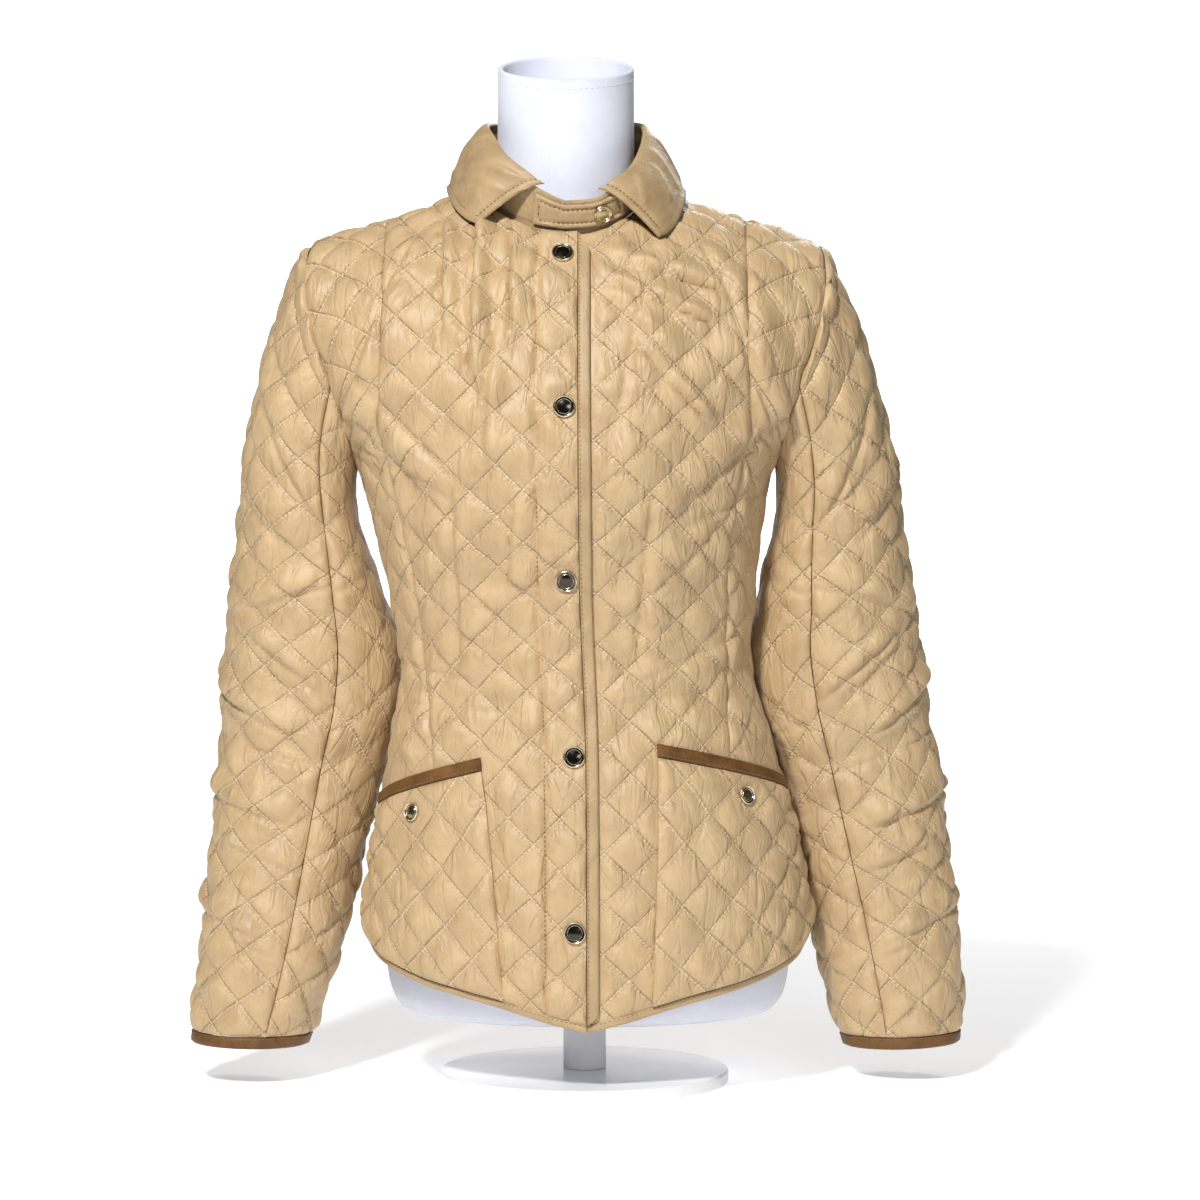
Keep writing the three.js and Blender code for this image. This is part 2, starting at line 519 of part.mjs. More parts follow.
// Rows of a sleeve are evenly spaced along its length
function sleeveShares(table, side) {
  const steps = 240;
  const lengths = [0];
  const middle = (share) => sleevePoint(table, side, 0, share)
    .add(sleevePoint(table, side, Math.PI, share)).multiplyScalar(0.5);
  for (let k = 1; k <= steps; k += 1) {
    lengths.push(lengths[k - 1] + middle(k / steps).distanceTo(middle((k - 1) / steps)));
  }
  const total = lengths[steps];
  return (part) => {
    const k = lengths.findIndex((length) => length >= part * total);
    if (k <= 0) return 0;
    return (k - 1 + (part * total - lengths[k - 1]) / (lengths[k] - lengths[k - 1])) / steps;
  };
}
for (const [name, table] of Object.entries(SLEEVES)) {
  const side = name === 'right' ? -1 : 1;
  const shareAt = sleeveShares(table, side);
  const cuffShare = 1 - LEATHER / 560;
  const ringPoint = (angle, part, lift) => {
    const share = shareAt(part);
    const h = 0.02;
    const point = sleevePoint(table, side, angle, share);
    const round = sleevePoint(table, side, angle + h, share)
      .sub(sleevePoint(table, side, angle - h, share));
    const low = Math.max(share - h / 4, 0);
    const high = Math.min(share + h / 4, 1);
    const along = sleevePoint(table, side, angle, high).sub(sleevePoint(table, side, angle, low));
    const normal = round.cross(along).normalize().multiplyScalar(side);
    if (part === 0) normal.setX(0).normalize();
    return point.addScaledVector(normal, lift);
  };
  const pieces = [
    { piece: 'top', columns: TOP_COLUMNS, from: -BACK_SEAM_ANGLE, to: FRONT_SEAM_ANGLE },
    { piece: 'under', columns: UNDER_COLUMNS, from: FRONT_SEAM_ANGLE, to: 360 - BACK_SEAM_ANGLE },
  ];
  for (const { piece, columns, from, to } of pieces) {
    const gap = 0.35;
    sheet(`sleeve_${name}_${piece}`, columns, SLEEVE_ROWS, (i, j) => {
      const angle = degToRad(lerp(from + gap, to - gap, i / columns));
      const isEdge = i === 0 || j === 0 || i === columns || j === SLEEVE_ROWS;
      const nearBody = smooth(-Math.cos(angle), 0.2, 0.8) * (1 - smooth(j, 5, 9));
      const puff = isEdge || (i + j) % 2 === 0 ? 0 : PUFF * (1 - 0.7 * nearBody);
      const part = cuffShare * j / SLEEVE_ROWS;
      return { inner: ringPoint(angle, part, 0), outer: ringPoint(angle, part, WALL + puff) };
    }, COLOURS.cloth);
  }
  sheet(`cuff_trim_${name}`, TOP_COLUMNS + UNDER_COLUMNS, 1, (i, j) => {
    const angle = degToRad(FRONT_SEAM_ANGLE + 360 * i / (TOP_COLUMNS + UNDER_COLUMNS));
    const part = j ? 1 : cuffShare + SEAM / 560;
    return { inner: ringPoint(angle, part, -0.2), outer: ringPoint(angle, part, TRIM) };
  }, COLOURS.leather, true);
}

// A wall of even thickness about a surface, its plus side out
function evenWall(name, columns, rows, surface, thick, finish) {
  const h = 1e-3;
  const side = (u, v) => {
    const across = surface(Math.min(u + h, 1), v).sub(surface(Math.max(u - h, 0), v));
    const up = surface(u, Math.min(v + h, 1)).sub(surface(u, Math.max(v - h, 0)));
    return across.cross(up).normalize();
  };
  return sheet(name, columns, rows, (i, j) => {
    const [u, v] = [i / columns, j / rows];
    const out = side(u, v).multiplyScalar(-thick / 2);
    return { inner: surface(u, v).sub(out), outer: surface(u, v).add(out) };
  }, finish);
}

// The collar's stand and fall at a share of the way round and up
const collar = {};
for (const column of ['rollX', 'rollY', 'rollZ', 'edgeX', 'edgeY', 'edgeZ']) {
  collar[column] = through(COLLAR, 'at', column);
}
function collarBase(at) {
  const x = -NECK_HALF * Math.sin(2 * Math.PI * at);
  const isBack = Math.cos(2 * Math.PI * at) < 0;
  const z = Math.min(isBack ? backNeckline(x) : frontNeckline(x), ridge(x));
  const point = bodyPoint(angleAt(x, z), z, isBack);
  const inwards = bodyNormal(point).setZ(0).normalize().multiplyScalar(-STAND_THICK - 3 * SEAM);
  return point.add(inwards).add(vec(0, 0, 7 * SEAM));
}
const collarRoll = (at) => vec(collar.rollX(at), collar.rollY(at), collar.rollZ(at));
const collarEdge = (at) => vec(collar.edgeX(at), collar.edgeY(at), collar.edgeZ(at));
const standPoint = (at, up) => {
  const share = (at + 1) % 1;
  return collarBase(share).lerp(collarRoll(share), up);
};
evenWall('collar_stand', 34, 2, (u, v) => standPoint(lerp(0.006, 0.994, u), v * 0.95),
  STAND_THICK, COLOURS.plain);

function fallPoint(at, down) {
  const roll = collarRoll(at).add(vec(0, 0, FALL_THICK));
  const edge = collarEdge(at);
  const out = vec(edge.x - roll.x, edge.y - roll.y, 0);
  out.addScaledVector(vec(0, -1, 0), 75 * smooth(Math.abs(at - 0.5), 0.28, 0.44)).normalize();
  const rise = roll.clone().add(vec(0, 0, 8)).addScaledVector(out, 0.5);
  const turn = roll.clone().lerp(edge, 0.25).add(vec(0, 0, 9)).addScaledVector(out, 9);
  const curve = new THREE.CubicBezierCurve3(roll, rise, turn, edge);
  return curve.getPoint(down);
}
evenWall('collar_fall', 36, 6,
  (u, v) => fallPoint(lerp(FALL_END.right, FALL_END.left, u), v ** 1.3), FALL_THICK, COLOURS.plain);

// The throat tab lies on the stand
const TAB = { from: 0.058, to: -0.115, low: 0.16, high: 0.84, thick: 1.8 };
const TAB_SNAP = { at: -0.066, up: 0.48, radius: 7 };
function standOut(at) {
  const h = 0.002;
  const along = standPoint(at + h, 0.5).sub(standPoint(at - h, 0.5));
  const up = standPoint(at, 0.6).sub(standPoint(at, 0.4));
  return up.cross(along).normalize();
}
evenWall('throat_tab', 8, 2, (u, v) => {
  const at = lerp(TAB.to, TAB.from, u);
  const point = standPoint(at, lerp(TAB.low, TAB.high, v));
  return point.addScaledVector(standOut(at), (STAND_THICK + TAB.thick) / 2 + 2 * SEAM);
}, TAB.thick, COLOURS.plain);
const tabSeat = standPoint(TAB_SNAP.at, TAB_SNAP.up)
  .addScaledVector(standOut(TAB_SNAP.at), STAND_THICK / 2 + TAB.thick + 3.5 * SEAM);
snapCap('snap_collar', tabSeat, standOut(TAB_SNAP.at), TAB_SNAP.radius);

// The dress form stands inside the cloth. How far it keeps from the cloth, by height
const formGap = through([
  { z: 50, gap: 19 }, { z: 110, gap: 14 }, { z: 185, gap: 8 }, { z: 247, gap: 4 }, { z: 308, gap: 2.4 },
  { z: 482, gap: 2.4 }, { z: 600, gap: 2.6 }, { z: 640, gap: 4.4 }, { z: 662, gap: 5.2 },
], 'z', 'gap');
const FORM_SIDES = 30;
const softMax = (a, b, width) => Math.max(a, b) + Math.max(width - Math.abs(a - b), 0) ** 2 / (4 * width);
function formDepth(x, z, isBack) {
  const gap = formGap(z);
  const across = clamp((x - bodyCentre(z)) / (bodyHalf(z) - gap), -1, 1);
  const reach = isBack ? BACK_SHOULDER : FRONT_SHOULDER;
  const deep = (isBack ? bodyBack(z) : bodyFront(z)) - gap;
  const round = Math.sqrt(Math.max(fullness(ridge(x) - gap - z, reach), 0));
  const body = deep * Math.sqrt(1 - across ** 2) * round;
  const neckHalf = isBack ? FORM_NECK.back : FORM_NECK.front;
  const shift = (isBack ? 1 : -1) * (FORM_NECK.y - MID_Y);
  const inNeck = 1 - (x / FORM_NECK.half) ** 2;
  const neck = z > 560 ? shift + neckHalf * Math.sqrt(Math.max(inNeck, 0)) + 40 * Math.min(inNeck, 0) : -99;
  return softMax(body, neck, 5);
}
function formPoint(turn, z, scale) {
  const shoulder = NECK_HALF + (NECK_Z - formGap(z) - z) / SHOULDER_SLOPE;
  const widest = Math.min(bodyHalf(z) - formGap(z), FORM_ARM);
  const half = softMax(Math.min(widest, shoulder), FORM_NECK.half, 6);
  const x = bodyCentre(z) + half * Math.sin(turn) * scale;
  const isBack = Math.cos(turn) < 0;
  const fit = (x - bodyCentre(z)) / scale + bodyCentre(z);
  const deep = formDepth(fit, z, isBack) * scale;
  return vec(x, MID_Y + (isBack ? deep : -deep), z);
}
function neckPoint(turn, rise, inset, drop) {
  const x = (FORM_NECK.half - inset) * Math.sin(turn);
  const y = FORM_NECK.y - (FORM_NECK.front - inset) * Math.cos(turn);
  const z = lerp(700, FORM_NECK.rimZ, rise) + FORM_NECK.slant * (y - FORM_NECK.y) * rise - drop;
  return vec(x, y, z);
}
const FORM_FOOT = [
  { z: 50, scale: 0.8 }, { z: 53, scale: 0.9 }, { z: 61, scale: 0.96 }, { z: 73, scale: 0.99 },
];
const FORM_LEVELS = [95, 130, 170, 210, 247, 280, 310, 345, 380, 415, 448, 470, 495, 520, 545, 568,
  590, 608, 622, 633, 642, 650, 658, 667, 680];
const NECK_RISES = [0, 0.5, 1];
const NECK_HOLLOW = { wall: 4, depth: 30 };
const rings = [
  ...FORM_FOOT.map(({ z, scale }) => (turn) => formPoint(turn, z, scale)),
  ...FORM_LEVELS.map((z) => (turn) => formPoint(turn, z, 1)),
  ...NECK_RISES.map((rise) => (turn) => neckPoint(turn, rise, 0, 0)),
  (turn) => neckPoint(turn, 1, NECK_HOLLOW.wall, 0),
  (turn) => neckPoint(turn, 1, NECK_HOLLOW.wall, NECK_HOLLOW.depth),
];
function ringSolid(name, circles, sides, finish) {
  const positions = [];
  const index = [];
  const middle = (points) => points.reduce((sum, p) => sum.add(p), vec(0, 0, 0)).divideScalar(points.length);
  const all = circles.map((circle) => Array.from({ length: sides }, (_, k) => (
    circle(2 * Math.PI * (k + 0.5) / sides))));
  for (const points of all) for (const point of points) positions.push(...point.toArray());
  const ends = [all[0], all[all.length - 1]].map((points) => middle(points));
  for (const end of ends) positions.push(...end.toArray());
  const [first, last] = [all.length * sides, all.length * sides + 1];
  for (let k = 0; k < sides; k += 1) {
    const next = (k + 1) % sides;
    for (let j = 0; j + 1 < all.length; j += 1) {
      const [a, b, c, d] = [j * sides + k, j * sides + next, (j + 1) * sides + next, (j + 1) * sides + k];
      index.push(a, b, c, a, c, d);
    }
    index.push(first, next, k);
    const top = (all.length - 1) * sides;
    index.push(last, top + k, top + next);
  }
  return solid(name, positions, index, finish);
}
ringSolid('form_torso', rings, FORM_SIDES, COLOURS.form);

// Post and disc under the form
const STAND = { x: 14, y: 4, postRadius: 16, discRadius: 108, disc: 9, edge: 2, top: 50 };
function turnedPiece(name, outline, sides) {
  const piece = new THREE.Mesh(
    new THREE.LatheGeometry(outline.map(([r, h]) => new THREE.Vector2(r, h)), sides),
    new THREE.MeshStandardMaterial(COLOURS.form),
  );
  piece.name = name;
  piece.rotation.x = Math.PI / 2;
  piece.position.set(STAND.x, STAND.y, 0);
  jacket.add(piece);
}
turnedPiece('form_post', [[0, STAND.disc + SEAM], [STAND.postRadius, STAND.disc + SEAM],
  [STAND.postRadius, STAND.top - SEAM], [0, STAND.top - SEAM]], 20);
turnedPiece('form_base', [[0, 0], [STAND.discRadius, 0], [STAND.discRadius, STAND.disc - STAND.edge],
  [STAND.discRadius - STAND.edge, STAND.disc], [0, STAND.disc]], 40);

// The origin is the middle of the whole thing's underside
jacket.updateMatrixWorld(true);
const bounds = new THREE.Box3().setFromObject(jacket, true);
const middle = bounds.getCenter(vec(0, 0, 0));
jacket.position.set(-middle.x, -middle.y, 0);

export default jacket;
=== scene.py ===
# %% [markdown]
# # A quilted jacket on a dress form
# The jacket is padded cloth, sewn in diamonds, so every panel is a thin wall whose outer
# side swells between the stitches. Each panel follows the same body shape that the solids
# follow, only with a far finer grid. All lengths here are in millimetres until a mesh is
# made, and heights are above the floor.

# %% Load the frame
import math

import bpy
import numpy as np
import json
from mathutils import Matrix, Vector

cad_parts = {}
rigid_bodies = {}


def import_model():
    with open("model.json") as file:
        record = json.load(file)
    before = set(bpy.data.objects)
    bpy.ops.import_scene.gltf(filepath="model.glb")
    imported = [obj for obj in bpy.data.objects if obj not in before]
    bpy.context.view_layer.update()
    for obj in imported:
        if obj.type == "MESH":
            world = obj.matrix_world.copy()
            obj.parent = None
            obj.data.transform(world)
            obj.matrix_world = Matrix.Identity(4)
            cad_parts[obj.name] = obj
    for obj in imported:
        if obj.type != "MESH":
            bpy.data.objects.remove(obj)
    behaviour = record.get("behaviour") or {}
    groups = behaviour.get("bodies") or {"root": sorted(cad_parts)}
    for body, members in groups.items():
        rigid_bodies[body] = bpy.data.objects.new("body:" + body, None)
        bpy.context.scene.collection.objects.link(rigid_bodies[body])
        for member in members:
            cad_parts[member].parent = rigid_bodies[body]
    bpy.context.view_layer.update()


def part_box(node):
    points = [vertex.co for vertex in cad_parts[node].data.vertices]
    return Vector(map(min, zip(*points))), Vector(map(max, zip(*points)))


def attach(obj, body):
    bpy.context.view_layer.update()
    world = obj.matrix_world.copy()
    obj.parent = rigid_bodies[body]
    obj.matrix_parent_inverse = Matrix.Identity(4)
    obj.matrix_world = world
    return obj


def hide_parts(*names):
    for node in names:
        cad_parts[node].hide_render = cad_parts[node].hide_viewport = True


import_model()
MM = 0.001

# %% [markdown]
# ## Tables and smooth curves
# A pattern cutter works from a few measured levels and a smooth curve through them. `through`
# is that curve: a cubic through each row of a table, with its slope taken from the neighbours.

# %% Tables with named columns
def table(names, *rows):
    """Named columns from rows of numbers."""
    return dict(zip(names.split(), np.array(rows, float).T))


def through(rows, key, column):
    """A smooth function through one column, level past its ends."""
    at, value = rows[key], rows[column]
    last = len(at) - 1
    before = np.maximum(np.arange(last + 1) - 1, 0)
    after = np.minimum(np.arange(last + 1) + 1, last)
    slope = (value[after] - value[before]) / (at[after] - at[before])

    def curve(where):
        x = np.clip(np.asarray(where, float), at[0], at[last])
        k = np.clip(np.searchsorted(at, x, "left") - 1, 0, last - 1)
        step = at[k + 1] - at[k]
        t = (x - at[k]) / step
        rise = 3 * t**2 - 2 * t**3
        return (
            value[k] * (1 - rise) + value[k + 1] * rise
            + (t**3 - 2 * t**2 + t) * step * slope[k] + (t**3 - t**2) * step * slope[k + 1]
        )

    return curve


def smooth(value, low, high):
    """0 below low, 1 above high, and an even S between."""
    t = np.clip((value - low) / (high - low), 0, 1)
    return t * t * (3 - 2 * t)


def lerp(a, b, t):
    return a + (b - a) * t


BODY = table(
    "z centre half front back",
    (40, 17, 168, 116, 112), (125, 16, 164, 114, 110), (185, 15, 154, 110, 106),
    (247, 12, 143, 102, 97), (308, 8, 129, 94, 86), (360, 5, 134, 100, 86),
    (410, 2, 142, 114, 92), (457, 0, 153, 121, 98), (482, 0, 167, 119, 100),
    (515, 0, 188, 116, 102), (545, 0, 210, 107, 102), (584, 0, 245, 97, 98),
    (620, 0, 280, 87, 88), (660, 0, 300, 76, 78),
)
ARMHOLE = table(
    "z x", (463, 156), (482, 158), (515, 167), (545, 178), (584, 186), (615, 189), (628, 187)
)
PRINCESS = table(
    "z x", (40, 112), (95, 112), (190, 108), (265, 107), (308, 109), (344, 111), (382, 114),
    (417, 120), (448, 125), (480, 129.5), (545, 128), (600, 131), (645, 134),
)
HEM = table(
    "x z", (0, 57), (25, 63), (46, 69), (68, 75), (92, 80.5), (115, 86), (137, 93.5),
    (155, 103), (168, 121),
)
LEAN = table("z x", (57, 7), (247, 6), (375, 1.4), (660, 0))
body_centre, body_half, body_front, body_back = (
    through(BODY, "z", name) for name in ("centre", "half", "front", "back")
)
armhole_x = through(ARMHOLE, "z", "x")
princess_x = through(PRINCESS, "z", "x")
hem_height = through(HEM, "x", "z")
centre_lean = through(LEAN, "z", "x")
print("hem at the centre", hem_height(0), "and at the side", hem_height(168))

# %% [markdown]
# ## The body under the cloth
# Each level of the body is an oval with its own width and depths. Near the shoulder line the
# oval flattens as the square root of the depth below it, so front and back meet in a round
# shoulder. A field that is zero on the surface gives the direction that the cloth faces.

# %% Body surface
MID_Y = 4
NECK_HALF, NECK_Z = 66, 662
NECK_DROP, BACK_NECK_DROP = 37, 7
SLOPE = 0.2975
SHOULDER_REACH = {False: 115, True: 120}
UNDERARM_Z, ARMHOLE_TOP_Z = ARMHOLE["z"][[0, -1]]
HEM_Z, SIDE_HEM_Z = HEM["z"][[0, -1]]
SIDES = {"right": -1, "left": 1}


def ridge(x):
    """Height of the shoulder line."""
    far = np.abs(x)
    under_collar = NECK_Z + SLOPE * NECK_HALF / 2 * (1 - (far / NECK_HALF) ** 2)
    return np.where(far > NECK_HALF, NECK_Z - SLOPE * (far - NECK_HALF), under_collar)


def fullness(depth, reach):
    return 1 - (1 - np.minimum(depth / reach, 1)) ** 2


def body_point(angle, z, is_back):
    """Points of the body at angles from the centre front, the wearer's right negative."""
    x = body_centre(z) + body_half(z) * np.sin(angle)
    swell = np.sqrt(np.maximum(fullness(ridge(x) - z, SHOULDER_REACH[is_back]), 0))
    depth = body_back(z) if is_back else -body_front(z)
    y = MID_Y + depth * np.cos(angle) * swell
    return np.stack(np.broadcast_arrays(x, y, z), -1)


def body_field(x, y, z):
    back = y > MID_Y
    depth = np.where(back, body_back(z), body_front(z))
    reach = np.where(back, SHOULDER_REACH[True], SHOULDER_REACH[False])
    across = (x - body_centre(z)) / body_half(z)
    return (y - MID_Y) ** 2 - depth**2 * fullness(ridge(x) - z, reach) * (1 - across**2)


def unit(v):
    return v / np.maximum(np.linalg.norm(v, axis=-1, keepdims=True), 1e-12)


def body_normal(points, step=0.02):
    slopes = []
    for axis in range(3):
        move = np.zeros(3)
        move[axis] = step
        ahead, behind = (np.moveaxis(points + way * move, -1, 0) for way in (1, -1))
        slopes.append(body_field(*ahead) - body_field(*behind))
    return unit(np.stack(slopes, -1))


def body_surface(angle, z, is_back=False):
    """Points of the body with the directions that they face."""
    points = body_point(angle, z, is_back)
    return points, body_normal(points)


def angle_at(x, z):
    return np.arcsin(np.clip((x - body_centre(z)) / body_half(z), -1, 1))


def front_neckline(x):
    return NECK_Z - NECK_DROP * (1 - np.minimum(np.abs(x) / NECK_HALF, 1) ** 2.5)


def back_neckline(x):
    return NECK_Z - BACK_NECK_DROP * (1 - np.minimum(np.abs(x) / NECK_HALF, 1) ** 2)


def hem_of(angle):
    return hem_height(np.abs(body_half(HEM_Z) * np.sin(angle)))


def top_of(angle, is_back):
    z = np.full(np.shape(angle), float(NECK_Z))
    for _ in range(6):
        x = body_centre(z) + body_half(z) * np.sin(angle)
        z = np.minimum(back_neckline(x) if is_back else front_neckline(x), ridge(x))
    return z


ROUND_ROW, ROUND_HEIGHT = 0.81, 0.87


def row_height(row, hem, top):
    """Rows run level, bend to the hem and the shoulder, and stay even over the round."""
    low, high = SIDE_HEM_Z, float(ridge(armhole_x(ARMHOLE_TOP_Z)))
    over = np.maximum(row - ROUND_ROW, 0) / (1 - ROUND_ROW)
    rounded = ROUND_HEIGHT + (1 - ROUND_HEIGHT) * np.sin(over * np.pi / 2)
    t = np.where(over > 0, rounded, row * ROUND_HEIGHT / ROUND_ROW)
    return lerp(low, high, t) + (1 - t) ** 2.2 * (hem - low) + t**3 * (top - high)


def side_line(side):
    def line(z):
        above = np.arcsin(np.minimum(armhole_x(z) / body_half(z), 1))
        return side * np.where(z < UNDERARM_Z, np.pi / 2, above)
    return line


def princess_line(side):
    return lambda z: angle_at(body_centre(z) + side * princess_x(z), z)


def front_line(offset):
    return lambda z: angle_at(centre_lean(z) + offset, z)


bust = body_point(np.radians(np.arange(-90, 91)), np.full(181, 457.0), False)
print("half round the bust, in front, mm:", np.linalg.norm(np.diff(bust, axis=0), axis=1).sum().round())

# %% [markdown]
# ## From a grid to a cloth wall
# A panel is a grid of points with a direction at each. The inner side lies on the body, the
# outer side stands off by the cloth's thickness and its swelling, and a rim closes the edge.
# The flat place of every point in the cut cloth is kept as a UV map, so the stitches and the
# weave are drawn along the cloth and not through space.

# %% Mesh makers
form_low, form_high = (np.array(c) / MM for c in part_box("form_base"))
FORM_BASE_MIDDLE = np.array([14.0, 4.0])
shift = np.append((form_low + form_high)[:2] / 2 - FORM_BASE_MIDDLE, 0)
print("shift from the cutter's frame to the floor frame, mm:", shift.round(3))


def add_mesh(name, points, faces, material, uv=None, sharp=60):
    name = name.replace("_", "-").replace(" ", "-")
    mesh = bpy.data.meshes.new(name)
    mesh.from_pydata(((points + shift) * MM).tolist(), [], faces)
    mesh.shade_smooth()
    if uv is not None:
        layer = mesh.uv_layers.new(name="cloth")
        corner = np.empty(len(mesh.loops), np.int32)
        mesh.loops.foreach_get("vertex_index", corner)
        layer.data.foreach_set("uv", (uv[corner] * MM).astype(np.float32).ravel())
    mesh.set_sharp_from_angle(angle=math.radians(sharp))
    mesh.materials.append(material)
    piece = bpy.data.objects.new(name, mesh)
    bpy.context.collection.objects.link(piece)
    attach(piece, "root")
    return piece


def grid_faces(rows, columns, start=0, flip=False, tube=False):
    across = columns if tube else columns + 1
    j, i = np.meshgrid(np.arange(rows), np.arange(columns), indexing="ij")
    right = (i + 1) % across
    corners = [j * across + i, j * across + right, (j + 1) * across + right, (j + 1) * across + i]
    faces = np.stack([c.ravel() + start for c in corners], 1)
    return faces[:, ::-1] if flip else faces


def closed_tube(rings, ends):
    """Points and faces of a tube of equal rings, with a fan of triangles at each end."""
    sides = len(rings[0])
    points = np.concatenate([*rings, *np.reshape(ends, (2, 1, 3))])
    faces = grid_faces(len(rings) - 1, sides, tube=True).tolist()
    first = len(rings) * sides
    for k in range(sides):
        ahead = (k + 1) % sides
        faces.append([first, ahead, k])
        faces.append([first + 1, first - sides + k, first - sides + ahead])
    return points, faces


def wall(name, inner, outer, material, flat=None, tube=False):
    """A closed wall between two grids of points (rows, columns, 3)."""
    rows, columns = inner.shape[0] - 1, inner.shape[1] - (0 if tube else 1)
    count = inner.shape[0] * inner.shape[1]
    index = np.arange(count).reshape(inner.shape[:2])
    loops = [(index[0], True), (index[-1], False)]
    if not tube:
        loops += [(index[:, 0], False), (index[:, -1], True)]
    faces = [grid_faces(rows, columns, 0, False, tube), grid_faces(rows, columns, count, True, tube)]
    for loop, forward in loops:
        ahead = np.roll(loop, -1) if tube else loop[1:]
        here = loop if tube else loop[:-1]
        rim = np.stack([here, here + count, ahead + count, ahead], 1)
        faces.append(rim if forward else rim[:, ::-1])
    faces = np.concatenate(faces)
    points = np.concatenate([outer.reshape(-1, 3), inner.reshape(-1, 3)])
    a, b, c, d = (points[faces[:, k]] for k in range(4))
    volume = (a * (np.cross(b, c) + np.cross(c, d))).sum()
    if volume < 0:
        faces = faces[:, ::-1]
    uv = None if flat is None else np.tile(flat.reshape(-1, 2), (2, 1))
    return add_mesh(name, points, faces.tolist(), material, uv)

# %% [markdown]
# ## Diamond quilting
# The batting is held down along two families of slanting lines, so the cloth is lowest where
# lines cross and rises steeply beside a stitch before it rounds over. `quilt` works in the
# flat cloth: `along` and `across` are distances on the cut piece, so the diamonds keep their
# size where the body narrows and simply run off at the seams. Small pulls run out from the
# stitches, because the thread gathers the face cloth a little.

# %% Quilting in the flat cloth
HALF_WIDE, HALF_TALL = 19.5, 18.5
WALL, PUFF = 1.8, 3.8
ROUNDNESS, LEAN = 0.34, 1.15
PULLS, PULL_TALL, PULL_REACH = 5, 0.34, 0.38
SOFT_CREASE, SHARP_CREASE, CREASE_SLIM = 0.5, 0.7, 0.12
SEAM_EASE = 7


def lengths_along(points, axis):
    step = np.linalg.norm(np.diff(points, axis=axis), axis=-1)
    pad = [(0, 0), (0, 0)]
    pad[axis] = (1, 0)
    return np.pad(np.cumsum(step, axis=axis), pad)


def flat_place(points, middle_column):
    """Distances on the cut piece: across from a middle line, and up from the bottom."""
    across = lengths_along(points, 1)
    up = lengths_along(points, 0)
    middle = np.broadcast_to(middle_column, points.shape[:1]).astype(float)
    k = np.clip(middle.astype(int), 0, points.shape[1] - 2)
    rows = np.arange(points.shape[0])
    at_middle = lerp(across[rows, k], across[rows, k + 1], middle - k)
    level = up[:, points.shape[1] // 2][:, None]
    return np.stack([across - at_middle[:, None], np.broadcast_to(level, across.shape)], -1)


def ripple(u, v, seed, scale):
    """A smooth, fixed, irregular wave between -1 and 1."""
    draw = np.random.default_rng(seed)
    total = 0
    for _ in range(6):
        turn, phase = draw.uniform(0, 2 * np.pi, 2)
        stretch = draw.uniform(0.7, 1.6) / scale
        total = total + np.sin((u * np.cos(turn) + v * np.sin(turn)) * stretch + phase)
    return total / 3.2


def unevenly_sewn(flat, seed):
    """The pattern's own coordinates, which wander a little as hand-guided sewing does."""
    u, v = flat[..., 0], flat[..., 1]
    wander = [1.3 * ripple(u, v, seed + k, 36) + 0.45 * ripple(u, v, seed + k + 7, 7) for k in (0, 1)]
    return flat + np.stack(wander, -1)


def cloth_thickness(ease):
    """Full inside a piece and half as thick at its sewn edges."""
    return WALL * (0.5 + 0.5 * ease)


def quilt(pattern, seed=1, height=PUFF):
    """Height of the swelling over the stitches."""
    u, v = pattern[..., 0], pattern[..., 1]
    first, second = (u / HALF_WIDE + v / HALF_TALL) / 2, (u / HALF_WIDE - v / HALF_TALL) / 2
    rise_1, rise_2 = np.abs(np.sin(np.pi * first)), np.abs(np.sin(np.pi * second))
    both = rise_1 * rise_2
    cell = np.floor(first) * 7.31 + np.floor(second) * 3.77 + seed
    lean_1, lean_2, fill = (np.sin(cell * k) for k in (12.9, 7.7, 3.3))
    lean = LEAN * (lean_1 * (first % 1 - 0.5) + lean_2 * (second % 1 - 0.5))
    swell = height * both**ROUNDNESS * (1 + 0.12 * fill + lean + 0.15 * ripple(u, v, seed + 2, 22))
    pulls = 0
    for rise, run, stray in ((rise_1, second, seed + 3), (rise_2, first, seed + 4)):
        wave = np.sin(2 * np.pi * run * PULLS + 3 * ripple(u, v, stray, 9))
        pulls = pulls + PULL_TALL * np.exp(-((rise / PULL_REACH) ** 2)) * wave * rise**0.5
    crease = SOFT_CREASE * ripple(u * 2.4, v * 0.45, seed + 5, 8) * both**0.4
    sharp = np.abs(ripple(u * 1.7, v * 0.35, seed + 6, 9))
    crease = crease - SHARP_CREASE * np.exp(-((sharp / CREASE_SLIM) ** 2)) * both**0.7
    return np.maximum(swell + pulls + crease, 0)


def edge_ease(points, reach=SEAM_EASE):
    """0 at a piece's edge and 1 inside, by distance on the cloth."""
    across, up = lengths_along(points, 1), lengths_along(points, 0)
    side = np.minimum(across, across[:, -1:] - across)
    end = np.minimum(up, up[-1:] - up)
    return np.sqrt(smooth(np.minimum(side, end), -0.2 * reach, reach))


def finished(piece, node_name):
    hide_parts(node_name)
    return piece


cuts = {}


def quilted_wall(name, node_name, inner, normals, thickness, pattern, flat, points):
    """A quilted piece of its own thickness, finished and with its cut stated."""
    outer = inner + normals * thickness[..., None]
    piece = finished(wall(name, inner, outer, quilted_satin, pattern), node_name)
    cut_size(piece, flat, points)
    print(node_name, "grid", thickness.shape, "thickest", thickness.max().round(2), "mm")


